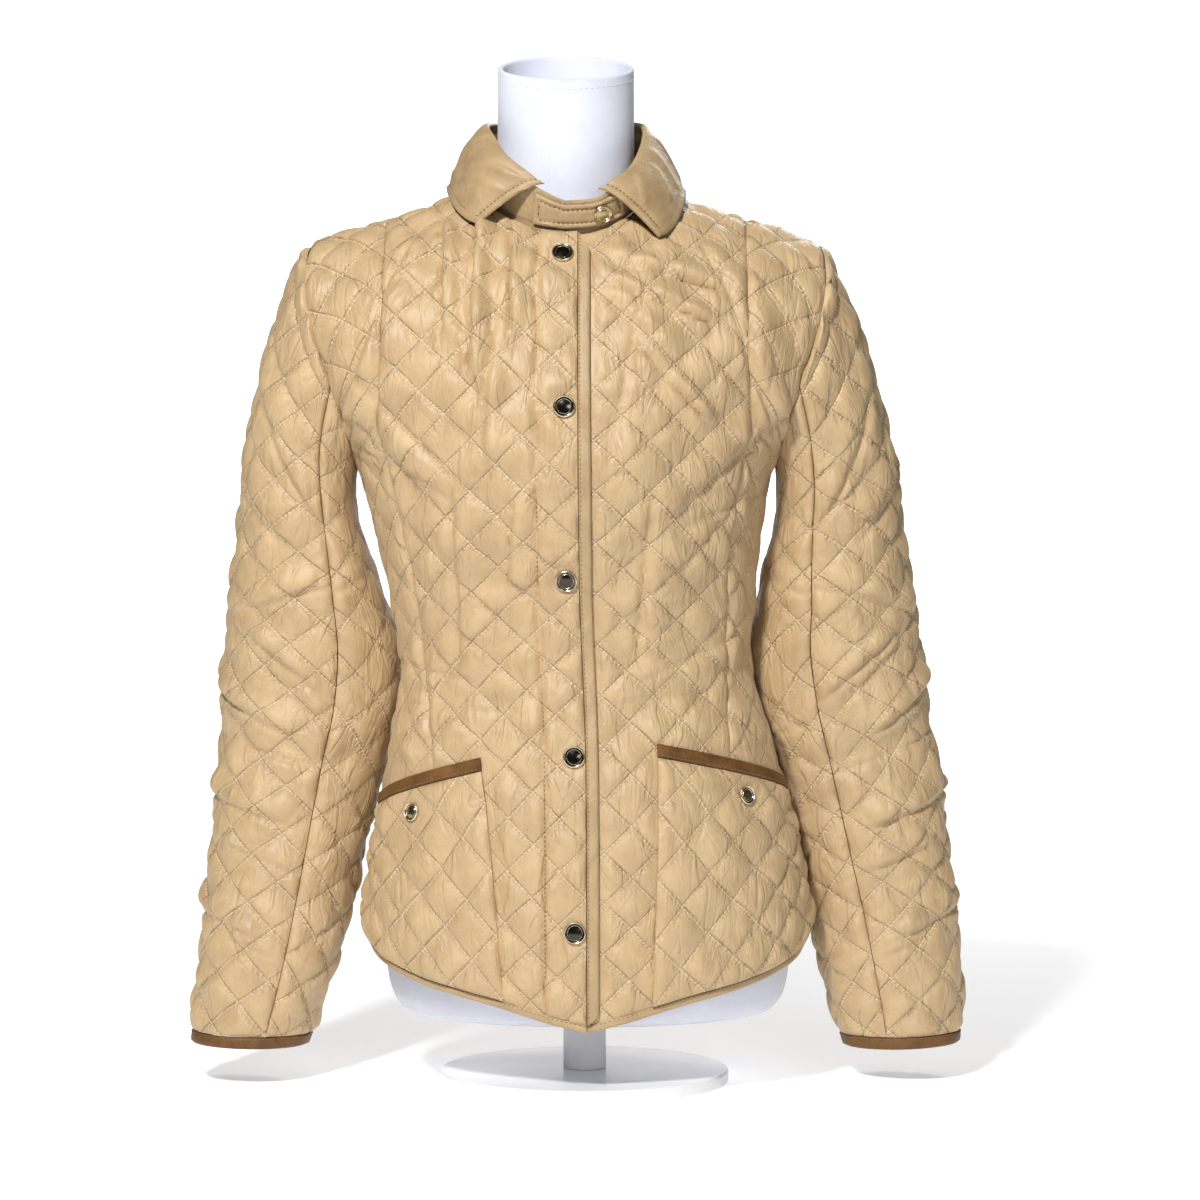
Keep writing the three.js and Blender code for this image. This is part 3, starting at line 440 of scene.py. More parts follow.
def cut_size(piece, flat, points, rests_on=("form_torso",)):
    """Keeps the cut size of a cloth piece, from its flat places and its area."""
    crossed = np.cross(points[1:, 1:] - points[:-1, :-1], points[1:, :-1] - points[:-1, 1:])
    area = np.linalg.norm(crossed, axis=-1).sum() / 2 * MM**2
    size = [float(np.ptp(flat[..., k]) * MM) for k in (0, 1)]
    cuts[piece.name] = (piece, size, float(min(area, size[0] * size[1])), list(rests_on))


print("a diamond is", 2 * HALF_WIDE, "by", 2 * HALF_TALL, "mm")

# %% [markdown]
# ## Shared effects for the finishes
# Satin, leather and the form's knit all need fine relief and a little unevenness of colour.
# Each such effect is one node group with named sockets, placed in every material that uses it
# with its own values. Cloth gives the groups its flat places, so that the effect follows it, and
# the other finishes give them plain object space.

# %% Node helpers and groups
def new_group(name, inputs, outputs):
    group = bpy.data.node_groups.new(name, "ShaderNodeTree")
    for label, kind, value in inputs:
        socket = group.interface.new_socket(name=label, in_out="INPUT", socket_type=kind)
        socket.default_value = value
    for label, kind in outputs:
        group.interface.new_socket(name=label, in_out="OUTPUT", socket_type=kind)
    return group, group.nodes.new("NodeGroupInput"), group.nodes.new("NodeGroupOutput")


def node(tree, kind, inputs=None, **settings):
    made = tree.nodes.new(kind)
    for key, value in settings.items():
        setattr(made, key, value)
    for key, value in (inputs or {}).items():
        socket = made.inputs[key]
        if isinstance(value, bpy.types.NodeSocket):
            tree.links.new(value, socket)
        else:
            socket.default_value = value
    return made


def mix_colours(tree, factor, first, second):
    """A mix of two colours, 0 for the first and 1 for the second."""
    made = node(tree, "ShaderNodeMix", data_type="RGBA")
    for index, value in ((0, factor), (6, first), (7, second)):
        if isinstance(value, bpy.types.NodeSocket):
            tree.links.new(value, made.inputs[index])
        else:
            made.inputs[index].default_value = value
    return made.outputs[2]


def maths(tree):
    """Arithmetic in one tree, called with an operation and its one or two values."""
    def work_out(operation, a, b=0.0):
        return node(tree, "ShaderNodeMath", {0: a, 1: b}, operation=operation).outputs[0]
    return work_out


def noise(tree, vector, scale, **more):
    inputs = {"Vector": vector, "Scale": scale}
    inputs.update({key.capitalize(): value for key, value in more.items()})
    return node(tree, "ShaderNodeTexNoise", inputs).outputs["Fac"]


def ranged(tree, value, from_low, from_high, to_low=0.0, to_high=1.0, **settings):
    """A value spread from one range to another."""
    return node(tree, "ShaderNodeMapRange", {
        "Value": value, "From Min": from_low, "From Max": from_high,
        "To Min": to_low, "To Max": to_high,
    }, **settings).outputs[0]


FLOAT, COLOUR, VECTOR = "NodeSocketFloat", "NodeSocketColor", "NodeSocketVector"

# %% [markdown]
# ## Uneven colour
# No cloth, hide or metal has one flat colour: dye, handling and light differ from place to place.
# It could be painted as a picture, but broad and fine noise, mixed between two tones, needs none
# and never repeats.

# %% Group: uneven tone
tone_group, g_in, g_out = new_group(
    "uneven tone",
    [("Dark", COLOUR, (0.4, 0.4, 0.4, 1)), ("Light", COLOUR, (0.6, 0.6, 0.6, 1)),
     ("Patch Size", FLOAT, 25.0), ("Fleck Size", FLOAT, 900.0), ("Vector", VECTOR, (0, 0, 0))],
    [("Color", COLOUR), ("Patch", FLOAT)],
)
calc = maths(tone_group)
PATCH_SHARE = 0.75
patch = noise(tone_group, g_in.outputs["Vector"], g_in.outputs["Patch Size"], detail=4.0, roughness=0.6)
fleck = noise(tone_group, g_in.outputs["Vector"], g_in.outputs["Fleck Size"], detail=2.0)
blend = calc("ADD", calc("MULTIPLY", patch, PATCH_SHARE), calc("MULTIPLY", fleck, 1 - PATCH_SHARE))
spread = ranged(tone_group, blend, 0.36, 0.64)
mixed = mix_colours(tone_group, spread, g_in.outputs["Dark"], g_in.outputs["Light"])
tone_group.links.new(mixed, g_out.inputs["Color"])
tone_group.links.new(spread, g_out.inputs["Patch"])

# %% [markdown]
# ## Threads of the weave
# Two families of threads cross in the cloth. Modelled one by one there would be thousands, so two
# crossed waves along the flat cloth give their relief, and noise makes each a little uneven.

# %% Group: woven threads
weave_group, g_in, g_out = new_group(
    "woven threads",
    [("Threads", FLOAT, 2600.0), ("Uneven", FLOAT, 0.35), ("Vector", VECTOR, (0, 0, 0))],
    [("Height", FLOAT)],
)
calc = maths(weave_group)
apart = node(weave_group, "ShaderNodeSeparateXYZ", {0: g_in.outputs["Vector"]})
slubs = noise(weave_group, g_in.outputs["Vector"], 420.0, detail=3.0)
across, along = (
    calc("ABSOLUTE", calc("SINE", calc("MULTIPLY", apart.outputs[axis], g_in.outputs["Threads"])))
    for axis in ("X", "Y")
)
slubbed = calc("MULTIPLY", slubs, g_in.outputs["Uneven"])
weave_group.links.new(calc("ADD", calc("MULTIPLY", across, along), slubbed), g_out.inputs["Height"])

# %% [markdown]
# ## Creases of satin
# Satin that is held by stitches wrinkles in long soft lines that run up the cloth. The larger
# ones are in the mesh. The fine ones are a noise squeezed one way, with a second output that is
# lowest along the middle of each wrinkle, for a sharper crease.

# %% Group: satin creases
crease_group, g_in, g_out = new_group(
    "satin creases",
    [("Size", FLOAT, 130.0), ("Stretch", FLOAT, 0.35), ("Vector", VECTOR, (0, 0, 0))],
    [("Height", FLOAT), ("Sharp", FLOAT)],
)
calc = maths(crease_group)
CREASE_EDGE = 9.0
squeeze = node(crease_group, "ShaderNodeCombineXYZ", {0: 1.0, 1: g_in.outputs["Stretch"], 2: 1.0})
slim = node(crease_group, "ShaderNodeVectorMath", {0: g_in.outputs["Vector"], 1: squeeze.outputs[0]},
            operation="MULTIPLY")
folds = noise(crease_group, slim.outputs[0], g_in.outputs["Size"], detail=3.0, roughness=0.5,
              distortion=0.8)
off_middle = calc("ABSOLUTE", calc("SUBTRACT", folds, 0.5))
sharp = calc("MINIMUM", calc("MULTIPLY", off_middle, CREASE_EDGE), 1.0)
crease_group.links.new(folds, g_out.inputs["Height"])
crease_group.links.new(sharp, g_out.inputs["Sharp"])

# %% [markdown]
# ## Quilting thread
# The diamonds are sewn with thousands of short stitches. As real thread they would weigh more
# than the jacket's own mesh, so they are drawn in the finish, along the same two families of lines
# that shape the pillows. Painted shade darkens one side of each line, where the pillow slopes away
# from the light from the upper left, and its strength comes and goes. The pucker is the gathering
# beside it.

# %% Group: quilting thread
stitch_group, g_in, g_out = new_group(
    "quilting thread",
    [("Half Wide", FLOAT, HALF_WIDE * MM), ("Half Tall", FLOAT, HALF_TALL * MM), ("Line", FLOAT, 0.014),
     ("Stitch", FLOAT, 0.0032), ("Vector", VECTOR, (0, 0, 0))],
    [("Mask", FLOAT), ("Groove", FLOAT), ("Pucker", FLOAT)],
)
calc = maths(stitch_group)
HALF_SIDE = 0.0135
DASH_SHARE = 0.8
PAINTED_SHADE_OFFSET = 0.028
PUCKER_TURNS, PUCKER_STRAY = 1500.0, 22.0
SMOOTH = {"interpolation_type": "SMOOTHSTEP"}
apart = node(stitch_group, "ShaderNodeSeparateXYZ", {0: g_in.outputs["Vector"]})
u_cells = calc("DIVIDE", apart.outputs["X"], g_in.outputs["Half Wide"])
v_cells = calc("DIVIDE", apart.outputs["Y"], g_in.outputs["Half Tall"])
stray = calc("MULTIPLY", noise(stitch_group, g_in.outputs["Vector"], 130.0, detail=2.0), PUCKER_STRAY)
masks, painted_shades, puckers = [], [], []
# Each family of lines gets a band of painted shade just to one side, where the pillow slopes away from
# the light.
for operation, along, beside in (("ADD", "SUBTRACT", -PAINTED_SHADE_OFFSET), ("SUBTRACT", "ADD", PAINTED_SHADE_OFFSET)):
    place = calc("MULTIPLY", calc(operation, u_cells, v_cells), 0.5)
    off = calc("PINGPONG", place, 0.5)
    off_shaded_side = calc("PINGPONG", calc("ADD", place, beside), 0.5)
    painted_shades.append(ranged(stitch_group, off_shaded_side, 0.004, 0.055, 1.0, 0.0, **SMOOTH))
    run = calc("MULTIPLY", calc(along, u_cells, v_cells), HALF_SIDE)
    wave = calc("ADD", calc("MULTIPLY", run, PUCKER_TURNS), stray)
    reach = ranged(stitch_group, off, 0.0, 0.2, 1.0, 0.0, **SMOOTH)
    puckers.append(calc("MULTIPLY", calc("SINE", wave), reach))
    dash = calc("FRACT", calc("DIVIDE", run, g_in.outputs["Stitch"]))
    on_line = calc("LESS_THAN", off, g_in.outputs["Line"])
    masks.append(calc("MULTIPLY", on_line, calc("LESS_THAN", dash, DASH_SHARE)))
# The painted shade is made stronger and weaker from place to place.
shade_here_and_there = noise(stitch_group, g_in.outputs["Vector"], 75.0, detail=2.0)
depth = ranged(stitch_group, shade_here_and_there, 0.38, 0.62, 0.3, 1.0)
groove = calc("MULTIPLY", calc("MAXIMUM", *painted_shades), depth)
stitch_group.links.new(calc("MAXIMUM", *masks), g_out.inputs["Mask"])
stitch_group.links.new(groove, g_out.inputs["Groove"])
stitch_group.links.new(calc("ADD", *puckers), g_out.inputs["Pucker"])

# %% [markdown]
# ## Putting effects into a finish
# A finish takes each effect with its own values. Height outputs are stacked as bumps, the broad
# ones first, so a fine relief follows the broad one under it. What is the same all over is set
# on the shader itself.

# %% Helpers for finishes
def use(tree, group, **values):
    made = tree.nodes.new("ShaderNodeGroup")
    made.node_tree = group
    for key, value in values.items():
        socket = made.inputs[key.replace("_", " ")]
        if isinstance(value, bpy.types.NodeSocket):
            tree.links.new(value, socket)
        else:
            socket.default_value = value
    return made


def new_material(name):
    material = bpy.data.materials.new(name)
    material.use_nodes = True
    tree = material.node_tree
    return material, tree, tree.nodes["Principled BSDF"]


def set_evenly(shader, **values):
    """Values that are the same all over, on the shader's own sockets."""
    for key, value in values.items():
        shader.inputs[key.replace("_", " ")].default_value = value


def relief(tree, shader, *layers):
    """Stacks bumps, each (height socket, distance in millimetres, strength)."""
    before = None
    for height, distance, strength in layers:
        bump = node(tree, "ShaderNodeBump", {"Height": height, "Distance": distance * MM,
                    "Strength": strength})
        if before is not None:
            tree.links.new(before, bump.inputs["Normal"])
        before = bump.outputs["Normal"]
    tree.links.new(before, shader.inputs["Normal"])


print("groups:", {g.name: [item.name for item in g.interface.items_tree] for g in bpy.data.node_groups})

# %% [markdown]
# ## Satin
# The face cloth is a satin-faced polyester: its threads are too fine to see one by one, but
# they break up the shine, and the long creases beside each stitch catch the light. The quilted
# satin also carries its sewing thread, a little lighter than the cloth, and painted shade: its
# colour is darker on the side of each line where the pillow slopes away from the light. Plain
# satin is the same cloth unquilted, with both of its tones painted darker as painted shade.

# %% Finish: satin
CLOTH_TONES = (0.41, 0.28, 0.145), (0.52, 0.37, 0.20)
# The plain satin's tones are the quilted cloth's made darker: painted shade.
PLAIN_TONES_PAINTED_SHADE = (0.33, 0.22, 0.108), (0.44, 0.31, 0.163)
# The second colour is painted shade, mixed into the quilted cloth on one side of each line.
THREAD, PAINTED_SHADE_TONE = (0.62, 0.465, 0.28, 1), (0.15, 0.085, 0.032, 1)
PAINTED_SHADE_SHARE = 0.66


def toned(name, tones, patch, fleck=900.0, gloss=None, on_cloth=False):
    """A material whose colour, and often its gloss, vary a little from place to place."""
    material, tree, shader = new_material(name)
    if on_cloth:
        place = node(tree, "ShaderNodeUVMap", uv_map="cloth").outputs["UV"]
    else:
        place = node(tree, "ShaderNodeTexCoord").outputs["Object"]
    dark, light = tones
    tone = use(tree, tone_group, Dark=(*dark, 1), Light=(*light, 1), Patch_Size=patch, Fleck_Size=fleck,
               Vector=place)
    tree.links.new(tone.outputs["Color"], shader.inputs["Base Color"])
    if gloss is not None:
        tree.links.new(ranged(tree, tone.outputs["Patch"], 0.0, 1.0, *gloss), shader.inputs["Roughness"])
    return material, tree, shader, place


def satin(name, tones, quilted):
    material, tree, shader, flat = toned(name, tones, 38.0, gloss=(0.42, 0.58), on_cloth=True)
    weave = use(tree, weave_group, Threads=7000.0, Vector=flat)
    creases = use(tree, crease_group, Size=74.0, Stretch=0.32 if quilted else 0.75, Vector=flat)
    fine = use(tree, crease_group, Size=420.0, Stretch=0.4, Vector=flat)
    layers = [(creases.outputs["Height"], 2.8 if quilted else 1.3, 0.65),
              (creases.outputs["Sharp"], 0.9 if quilted else 0.2, 0.55),
              (fine.outputs["Height"], 0.32, 0.4), (weave.outputs["Height"], 0.08, 0.3)]
    if quilted:
        sewn = use(tree, stitch_group, Vector=flat)
        cloth = shader.inputs["Base Color"].links[0].from_socket
        # Painted shade: the cloth's colour is mixed towards a dark brown on one side of each quilting
        # line.
        shade = maths(tree)("MULTIPLY", sewn.outputs["Groove"], PAINTED_SHADE_SHARE)
        shaded = mix_colours(tree, shade, cloth, PAINTED_SHADE_TONE)
        with_thread = mix_colours(tree, sewn.outputs["Mask"], shaded, THREAD)
        tree.links.new(with_thread, shader.inputs["Base Color"])
        layers += [(sewn.outputs["Pucker"], 0.35, 0.55), (sewn.outputs["Mask"], 0.3, 0.7)]
    set_evenly(shader, Sheen_Weight=0.12, Sheen_Roughness=0.4, Sheen_Tint=(1.0, 0.9, 0.72, 1),
               Specular_IOR_Level=0.5)
    relief(tree, shader, *layers)
    return material


quilted_satin = satin("quilted satin", CLOTH_TONES, True)
plain_satin = satin("plain satin", PLAIN_TONES_PAINTED_SHADE, False)
print("nodes in each satin:", [len(made.node_tree.nodes) for made in (quilted_satin, plain_satin)])

# %% [markdown]
# ## Leather, metal, knit and paint
# The bindings are smooth brown leather, with a pebbled grain that cells of noise give. The snaps
# are polished metal with faint scratches. The form's cover is a fine knit, so it reuses the weave,
# coarser and more uneven. Paint shows a faint orange peel.

# %% Finishes: leather, metal, knit, paint, thread
def leather_finish():
    material, tree, shader, place = toned(
        "brown leather", ((0.085, 0.036, 0.008), (0.17, 0.078, 0.02)), 60.0, 700.0, (0.44, 0.6))
    grain = node(tree, "ShaderNodeTexVoronoi", {"Vector": place, "Scale": 900.0},
                 feature="DISTANCE_TO_EDGE")
    soft = use(tree, crease_group, Size=240.0, Stretch=1.0, Vector=place)
    set_evenly(shader, Specular_IOR_Level=0.35)
    relief(tree, shader, (soft.outputs["Height"], 0.5, 0.4), (grain.outputs["Distance"], 0.12, 0.5))
    return material


def metal_finish(name, colour, roughness):
    tones = tuple(0.8 * c for c in colour), colour
    gloss = 0.8 * roughness, 1.3 * roughness
    material, tree, shader, place = toned(name, tones, 300.0, 4000.0, gloss)
    set_evenly(shader, Metallic=1.0)
    scratch = use(tree, crease_group, Size=3000.0, Stretch=0.2, Vector=place)
    relief(tree, shader, (scratch.outputs["Height"], 0.02, 0.3))
    return material


def knit_finish():
    material, tree, shader, place = toned(
        "white knit cover", ((0.58, 0.60, 0.68), (0.66, 0.68, 0.76)), 20.0, 1500.0)
    knit = use(tree, weave_group, Threads=4200.0, Uneven=0.6, Vector=place)
    soft = use(tree, crease_group, Size=60.0, Stretch=1.0, Vector=place)
    set_evenly(shader, Roughness=0.85, Sheen_Weight=0.2)
    relief(tree, shader, (soft.outputs["Height"], 0.6, 0.2), (knit.outputs["Height"], 0.12, 0.4))
    return material


def paint_finish():
    material, tree, shader, place = toned(
        "white satin paint", ((0.74, 0.74, 0.76), (0.8, 0.8, 0.81)), 30.0, 1200.0)
    set_evenly(shader, Roughness=0.35)
    relief(tree, shader, (noise(tree, place, 900.0), 0.03, 0.3))
    return material


leather = leather_finish()
pale_brass = metal_finish("pale brass", (0.80, 0.70, 0.52), 0.22)
dark_centre = metal_finish("dark polished centre", (0.075, 0.062, 0.048), 0.16)
warm_centre = metal_finish("warm polished centre", (0.50, 0.37, 0.19), 0.2)
white_knit = knit_finish()
white_paint = paint_finish()
THREAD_TONES = (0.12, 0.07, 0.03), (0.25, 0.155, 0.07)
brown_thread, _, thread_shader, _ = toned("sewing thread", THREAD_TONES, 900.0)
set_evenly(thread_shader, Roughness=0.45)
print("finishes:", [material.name for material in bpy.data.materials])

# %% [markdown]
# ## Folds placed one by one
# Padded cloth doesn't crease sharply. It buckles in soft rolls where it is squeezed, at the
# waist and the elbow, and it pulls in shallow lines from a point that holds it, such as the
# bust or the armhole. Each fold is a short line on the cloth with a height and a half width.

# %% Folds
FRONT_FOLDS = table(
    "x1 z1 x2 z2 height wide",
    (-96, 452, -150, 508, 1.7, 11), (-88, 428, -146, 462, -1.0, 10), (92, 448, 148, 500, 1.5, 11),
    (84, 420, 146, 452, -0.9, 10), (-128, 560, -150, 500, 2.4, 12), (132, 566, 152, 505, 2.4, 12),
    (-122, 322, -76, 310, 1.2, 9), (-108, 290, -44, 284, -0.8, 8), (-106, 264, -62, 268, 1.0, 9),
    (118, 324, 70, 300, 1.0, 9), (96, 286, 50, 280, -0.8, 8), (-60, 560, -46, 470, 1.8, 13),
    (62, 556, 44, 468, 1.8, 13), (-70, 420, -66, 330, 2.0, 12), (70, 416, 62, 332, 2.0, 12),
    (-60, 628, -62, 528, 5.0, 7), (-84, 622, -82, 560, 3.4, 7), (-36, 616, -34, 560, 3.6, 6),
    (-46, 540, -52, 470, 2.2, 7), (-30, 430, -34, 380, 2.0, 7), (60, 540, 96, 500, 2.6, 7),
    (44, 606, 104, 590, 3.0, 7), (36, 590, 98, 566, 2.6, 7), (40, 574, 70, 546, 2.0, 8),
    (112, 606, 136, 560, 2.2, 9), (-112, 604, -138, 556, 2.2, 9),
)
BACK_FOLDS = table(
    "x1 z1 x2 z2 height wide",
    (-120, 470, -160, 520, 3.0, 12), (120, 466, 158, 520, 3.0, 12), (-96, 318, -10, 300, 3.4, 10),
    (20, 296, 108, 316, 3.2, 10), (-104, 286, -30, 276, -2.0, 9), (16, 272, 100, 284, -1.8, 9),
    (-84, 342, -22, 338, 2.2, 9), (30, 336, 92, 344, 2.2, 9), (-58, 560, -40, 440, 2.4, 16),
    (52, 566, 42, 446, 2.4, 16), (0, 420, -6, 340, 1.8, 14), (-70, 230, -64, 120, 2.4, 16),
    (74, 226, 70, 116, 2.4, 16),
)


FOLD_SCALE, TUCK_DEEP = 1.6, 1.6
TUCK_AT, TUCK_WIDE = 0.8, 0.24


def fold_height(folds, x, z):
    """Height of the folds at places on the cloth, and how hard the tuck beside each pinches it."""
    total, pinch = np.zeros(np.shape(x)), np.zeros(np.shape(x))
    for x1, z1, x2, z2, height, wide in zip(*folds.values()):
        run = np.array([x2 - x1, z2 - z1])
        length = np.hypot(*run)
        along = ((x - x1) * run[0] + (z - z1) * run[1]) / length
        across = ((x - x1) * run[1] - (z - z1) * run[0]) / length
        beyond = np.maximum(np.maximum(-along, along - length), 0)
        fade = np.exp(-((beyond / (1.6 * wide)) ** 2))
        total += FOLD_SCALE * height * np.exp(-((across / wide) ** 2)) * fade
        tuck = np.exp(-(((across - TUCK_AT * wide) / (TUCK_WIDE * wide)) ** 2)) * fade
        pinch = np.maximum(pinch, min(abs(height) / 3, 1) * tuck)
    return total, pinch


print("folds in front:", len(FRONT_FOLDS["height"]), "and behind:", len(BACK_FOLDS["height"]))

# %% [markdown]
# ## Body panels
# Fronts, side fronts and back are cut apart along the princess and side seams. The right front
# laps over the left, so it is held off by the thickness of the cloth below. The swelling is
# let down where a snap is set, where the fronts overlap, and under the patch pockets.

# %% Body panels
LAP, LAP_LIFT, LAP_EASE = 18, 2.9, 62
EDGE_BINDING, HEM_BINDING, TRIM = 9, 4.5, 2.6
SNAP_RADIUS = 8
SEAM, CUT_EDGE = 0.3, 0.18
CELL = 2.3
PLACKET, PLACKET_SLIM, PLACKET_DEEP = 20, 2.6, 1.1
BODY_TALL = 600
FRONT_SNAPS = table("x z", (-1.5, 608), (0, 497), (1.4, 375), (7, 247), (7.8, 123))
POCKETS = {
    "right": dict(top=71, hem=58, inner_z=236, side_z=206),
    "left": dict(top=54, hem=45, inner_z=246, side_z=217),
}
LEATHER_TALL = 10


def lap_lift(points):
    return LAP_LIFT * (1 - smooth(centre_lean(points[..., 2]) - points[..., 0], LAP + 4, LAP_EASE))


def placket_line(points):
    """1 along the line that holds the facing, and 0 a little away from it."""
    from_lap = points[..., 0] - centre_lean(points[..., 2])
    return np.exp(-(((from_lap + PLACKET) / PLACKET_SLIM) ** 2))


def front_share(points, is_left):
    """How much of the swelling is kept at points of a front."""
    x, z = points[..., 0], points[..., 2]
    share = np.ones(x.shape)
    for snap_x, snap_z in zip(*FRONT_SNAPS.values()):
        share *= smooth(np.hypot(x - snap_x, z - snap_z), SNAP_RADIUS - 1, 2.1 * SNAP_RADIUS)
    from_lap = x - centre_lean(z)
    if is_left:
        share *= smooth(from_lap, LAP + 1, LAP + 9)
    else:
        share *= 1 - 0.97 * placket_line(points)
    for side_name, pocket in POCKETS.items():
        out = SIDES[side_name] * (x - body_centre(z))
        top = pocket["inner_z"] + LEATHER_TALL
        below = 1 - smooth(z, top - 8, top + 4)
        under = smooth(out, pocket["hem"] - 4, pocket["hem"] + 8) * below
        share *= np.where(points[..., 1] < MID_Y + 10, 1 - 0.85 * under, 1)
    return share


def pressed_share(points):
    """The swelling is pressed down where a sleeve lies against the side."""
    out = np.abs(points[..., 0] - body_centre(points[..., 2])) / body_half(points[..., 2])
    height = smooth(points[..., 2], 215, 250) * (1 - smooth(points[..., 2], 470, 500))
    return 1 - 0.5 * smooth(out, 0.84, 0.95) * height


def even_shares(count, curve):
    fine = np.linspace(0, 1, 40 * count + 1)
    length = lengths_along(curve(fine)[None], 1)[0]
    return np.interp(np.linspace(0, length[-1], count + 1), length, fine)


def body_grid(left, right, is_back, columns, rows):
    """Points and facing directions of a body piece between two lines."""
    t = np.linspace(0, 1, rows + 1)
    ends = []
    for line, inset in ((left, CUT_EDGE), (right, -CUT_EDGE)):
        z = lerp(HEM_Z, NECK_Z, t)
        for _ in range(8):
            angle = line(z)
            z = row_height(t, hem_of(angle), top_of(angle, is_back))
        ends.append(line(z) + inset / body_half(z))

    def along_top(share):
        angle = lerp(ends[0][-1], ends[1][-1], share)
        return body_point(angle, top_of(angle, is_back), is_back)

    even = even_shares(columns, along_top)
    share = lerp(np.linspace(0, 1, columns + 1)[None], even[None], t[:, None] ** 6)
    angle = lerp(ends[0][:, None], ends[1][:, None], share)
    z = row_height(t[:, None], hem_of(angle[:1]), top_of(angle[-1:], is_back))
    points = body_point(angle, z, is_back)
    normals = body_normal(points)
    points[-1, :, 1] += (SEAM if is_back else -SEAM) / 2
    return points, normals


def cloth_flat(points, middle):
    """The cut cloth's own coordinates over a grid: across from a column, and up from the hem."""
    flat = flat_place(points, middle)
    up = lengths_along(points, 0)
    flat[..., 1] = up + (points[0, :, 2] - points[0, points.shape[1] // 2, 2])[None]
    return flat


def body_piece(name, left, right, is_back, columns, middle, seed):
    rows = round(BODY_TALL / CELL)
    points, normals = body_grid(left, right, is_back, columns, rows)
    flat = cloth_flat(points, middle)
    pattern = unevenly_sewn(flat, seed)
    share = pressed_share(points)
    if not is_back:
        share *= front_share(points, name == "front_centre_left")
    ease = edge_ease(points)
    placed = BACK_FOLDS if is_back else FRONT_FOLDS
    folds, pinch = fold_height(placed, points[..., 0], points[..., 2])
    swell = quilt(pattern, seed) * ease * share * (1 - 0.95 * pinch)
    folds = (folds - TUCK_DEEP * pinch) * edge_ease(points, 18) * share
    lift = lap_lift(points) if name == "front_centre_right" else 0.0
    lift = np.broadcast_to(lift, swell.shape)
    inner = points + normals * (lift + np.maximum(folds, -1.2))[..., None]
    cloth = cloth_thickness(ease) * (1 - 0.6 * pinch)
    if name == "front_centre_right":
        cloth = cloth - PLACKET_DEEP * placket_line(points) ** 4
    quilted_wall(f"{name}_panel", name, inner, normals, cloth + swell, pattern, flat, points)


BODY_PIECES = {
    "front_side_right": (side_line(-1), princess_line(-1), False, 44, 22, 11),
    "front_centre_right": (princess_line(-1), front_line(LAP - EDGE_BINDING), False, 64, 64, 21),
    "front_centre_left": (front_line(-LAP), princess_line(1), False, 54, 0, 31),
    "front_side_left": (princess_line(1), side_line(1), False, 44, 22, 41),
    "back": (side_line(-1), side_line(1), True, 164, 82, 51),
}
for piece_name, settings in BODY_PIECES.items():
    body_piece(piece_name, *settings)

# %% [markdown]
# ## Sleeves
# A two-piece sleeve hangs from the armhole as a tube that leans back a little at the elbow. Its
# rings are given as they look from the front: an outer and an inner point, with a depth.
# Near the body each ring is pushed out so that the cloth stays clear of the side.

# %% Sleeve shape
SLEEVES = {
    "right": table(
        "out_x out_z in_x in_z depth y",
        (187, 626, 156, 463, 57, 4), (203, 601, 160, 450, 56, 8), (214, 573, 161, 437, 55, 12),
        (225, 543, 159, 420, 54, 17), (233, 508, 154, 403, 53, 22), (239, 472, 148, 384, 53, 27),
        (243.5, 435, 141, 362, 53, 30), (249, 390, 133, 338, 53, 33), (254, 340, 126, 310, 52, 35),
        (258, 288, 129, 274, 50, 36), (261, 240, 141, 234, 48, 34), (264, 190, 153, 188, 47, 30),
        (269, 135, 165, 134, 46, 24), (274, 80, 179, 80, 44, 16), (280, 29, 196, 27, 41, 9),
    ),
    "left": table(
        "out_x out_z in_x in_z depth y",
        (187, 626, 156, 463, 57, 4), (203, 600, 160, 450, 56, 8), (215, 572, 161, 437, 55, 12),
        (226, 540, 160, 420, 54, 17), (236, 505, 157, 403, 53, 22), (244, 468, 152, 384, 53, 27),
        (250, 428, 148, 362, 53, 30), (257.5, 382, 144, 338, 53, 33), (264, 335, 140, 310, 52, 35),
        (271.5, 286, 145, 274, 50, 37), (279, 238, 156, 234, 48, 38), (285, 188, 169, 188, 47, 38),
        (291, 135, 184, 135, 46, 36), (297, 78, 198, 78, 44, 30), (296, 27, 212, 24, 41, 24),
    ),
}
FRONT_SEAM, BACK_SEAM = 108, 118
SLEEVE_TALL, CUFF_TALL = 560, 10
CUFF_SHARE = 1 - CUFF_TALL / SLEEVE_TALL
for side_name, rings in SLEEVES.items():
    print(side_name, "sleeve: rings", len(rings["y"]), "lowest", rings["in_z"].min(), "mm")


def clear_of_body(points, side, clearance):
    z = np.minimum(points[..., 2], UNDERARM_Z)
    depth = np.where(points[..., 1] > MID_Y, body_back(z), body_front(z)) + clearance
    across = (points[..., 1] - MID_Y) / depth
    reach = (body_half(z) + clearance) * np.sqrt(np.maximum(1 - across**2, 0))
    out = np.maximum(side * (points[..., 0] - body_centre(z)), reach)
    moved = points.copy()
    moved[..., 0] = np.where(np.abs(across) < 1, body_centre(z) + side * out, points[..., 0])
    return moved


def armhole_point(angle, side):
    turn = np.mod(angle, 2 * np.pi)
    share = np.where(turn > np.pi, 2 * np.pi - turn, turn) / np.pi
    z = UNDERARM_Z + (ridge(armhole_x(ARMHOLE_TOP_Z)) - UNDERARM_Z) * (1 + np.cos(share * np.pi)) / 2
    at = side_line(side)(z)
    return np.where((turn > np.pi)[..., None], body_point(at, z, True), body_point(at, z, False))


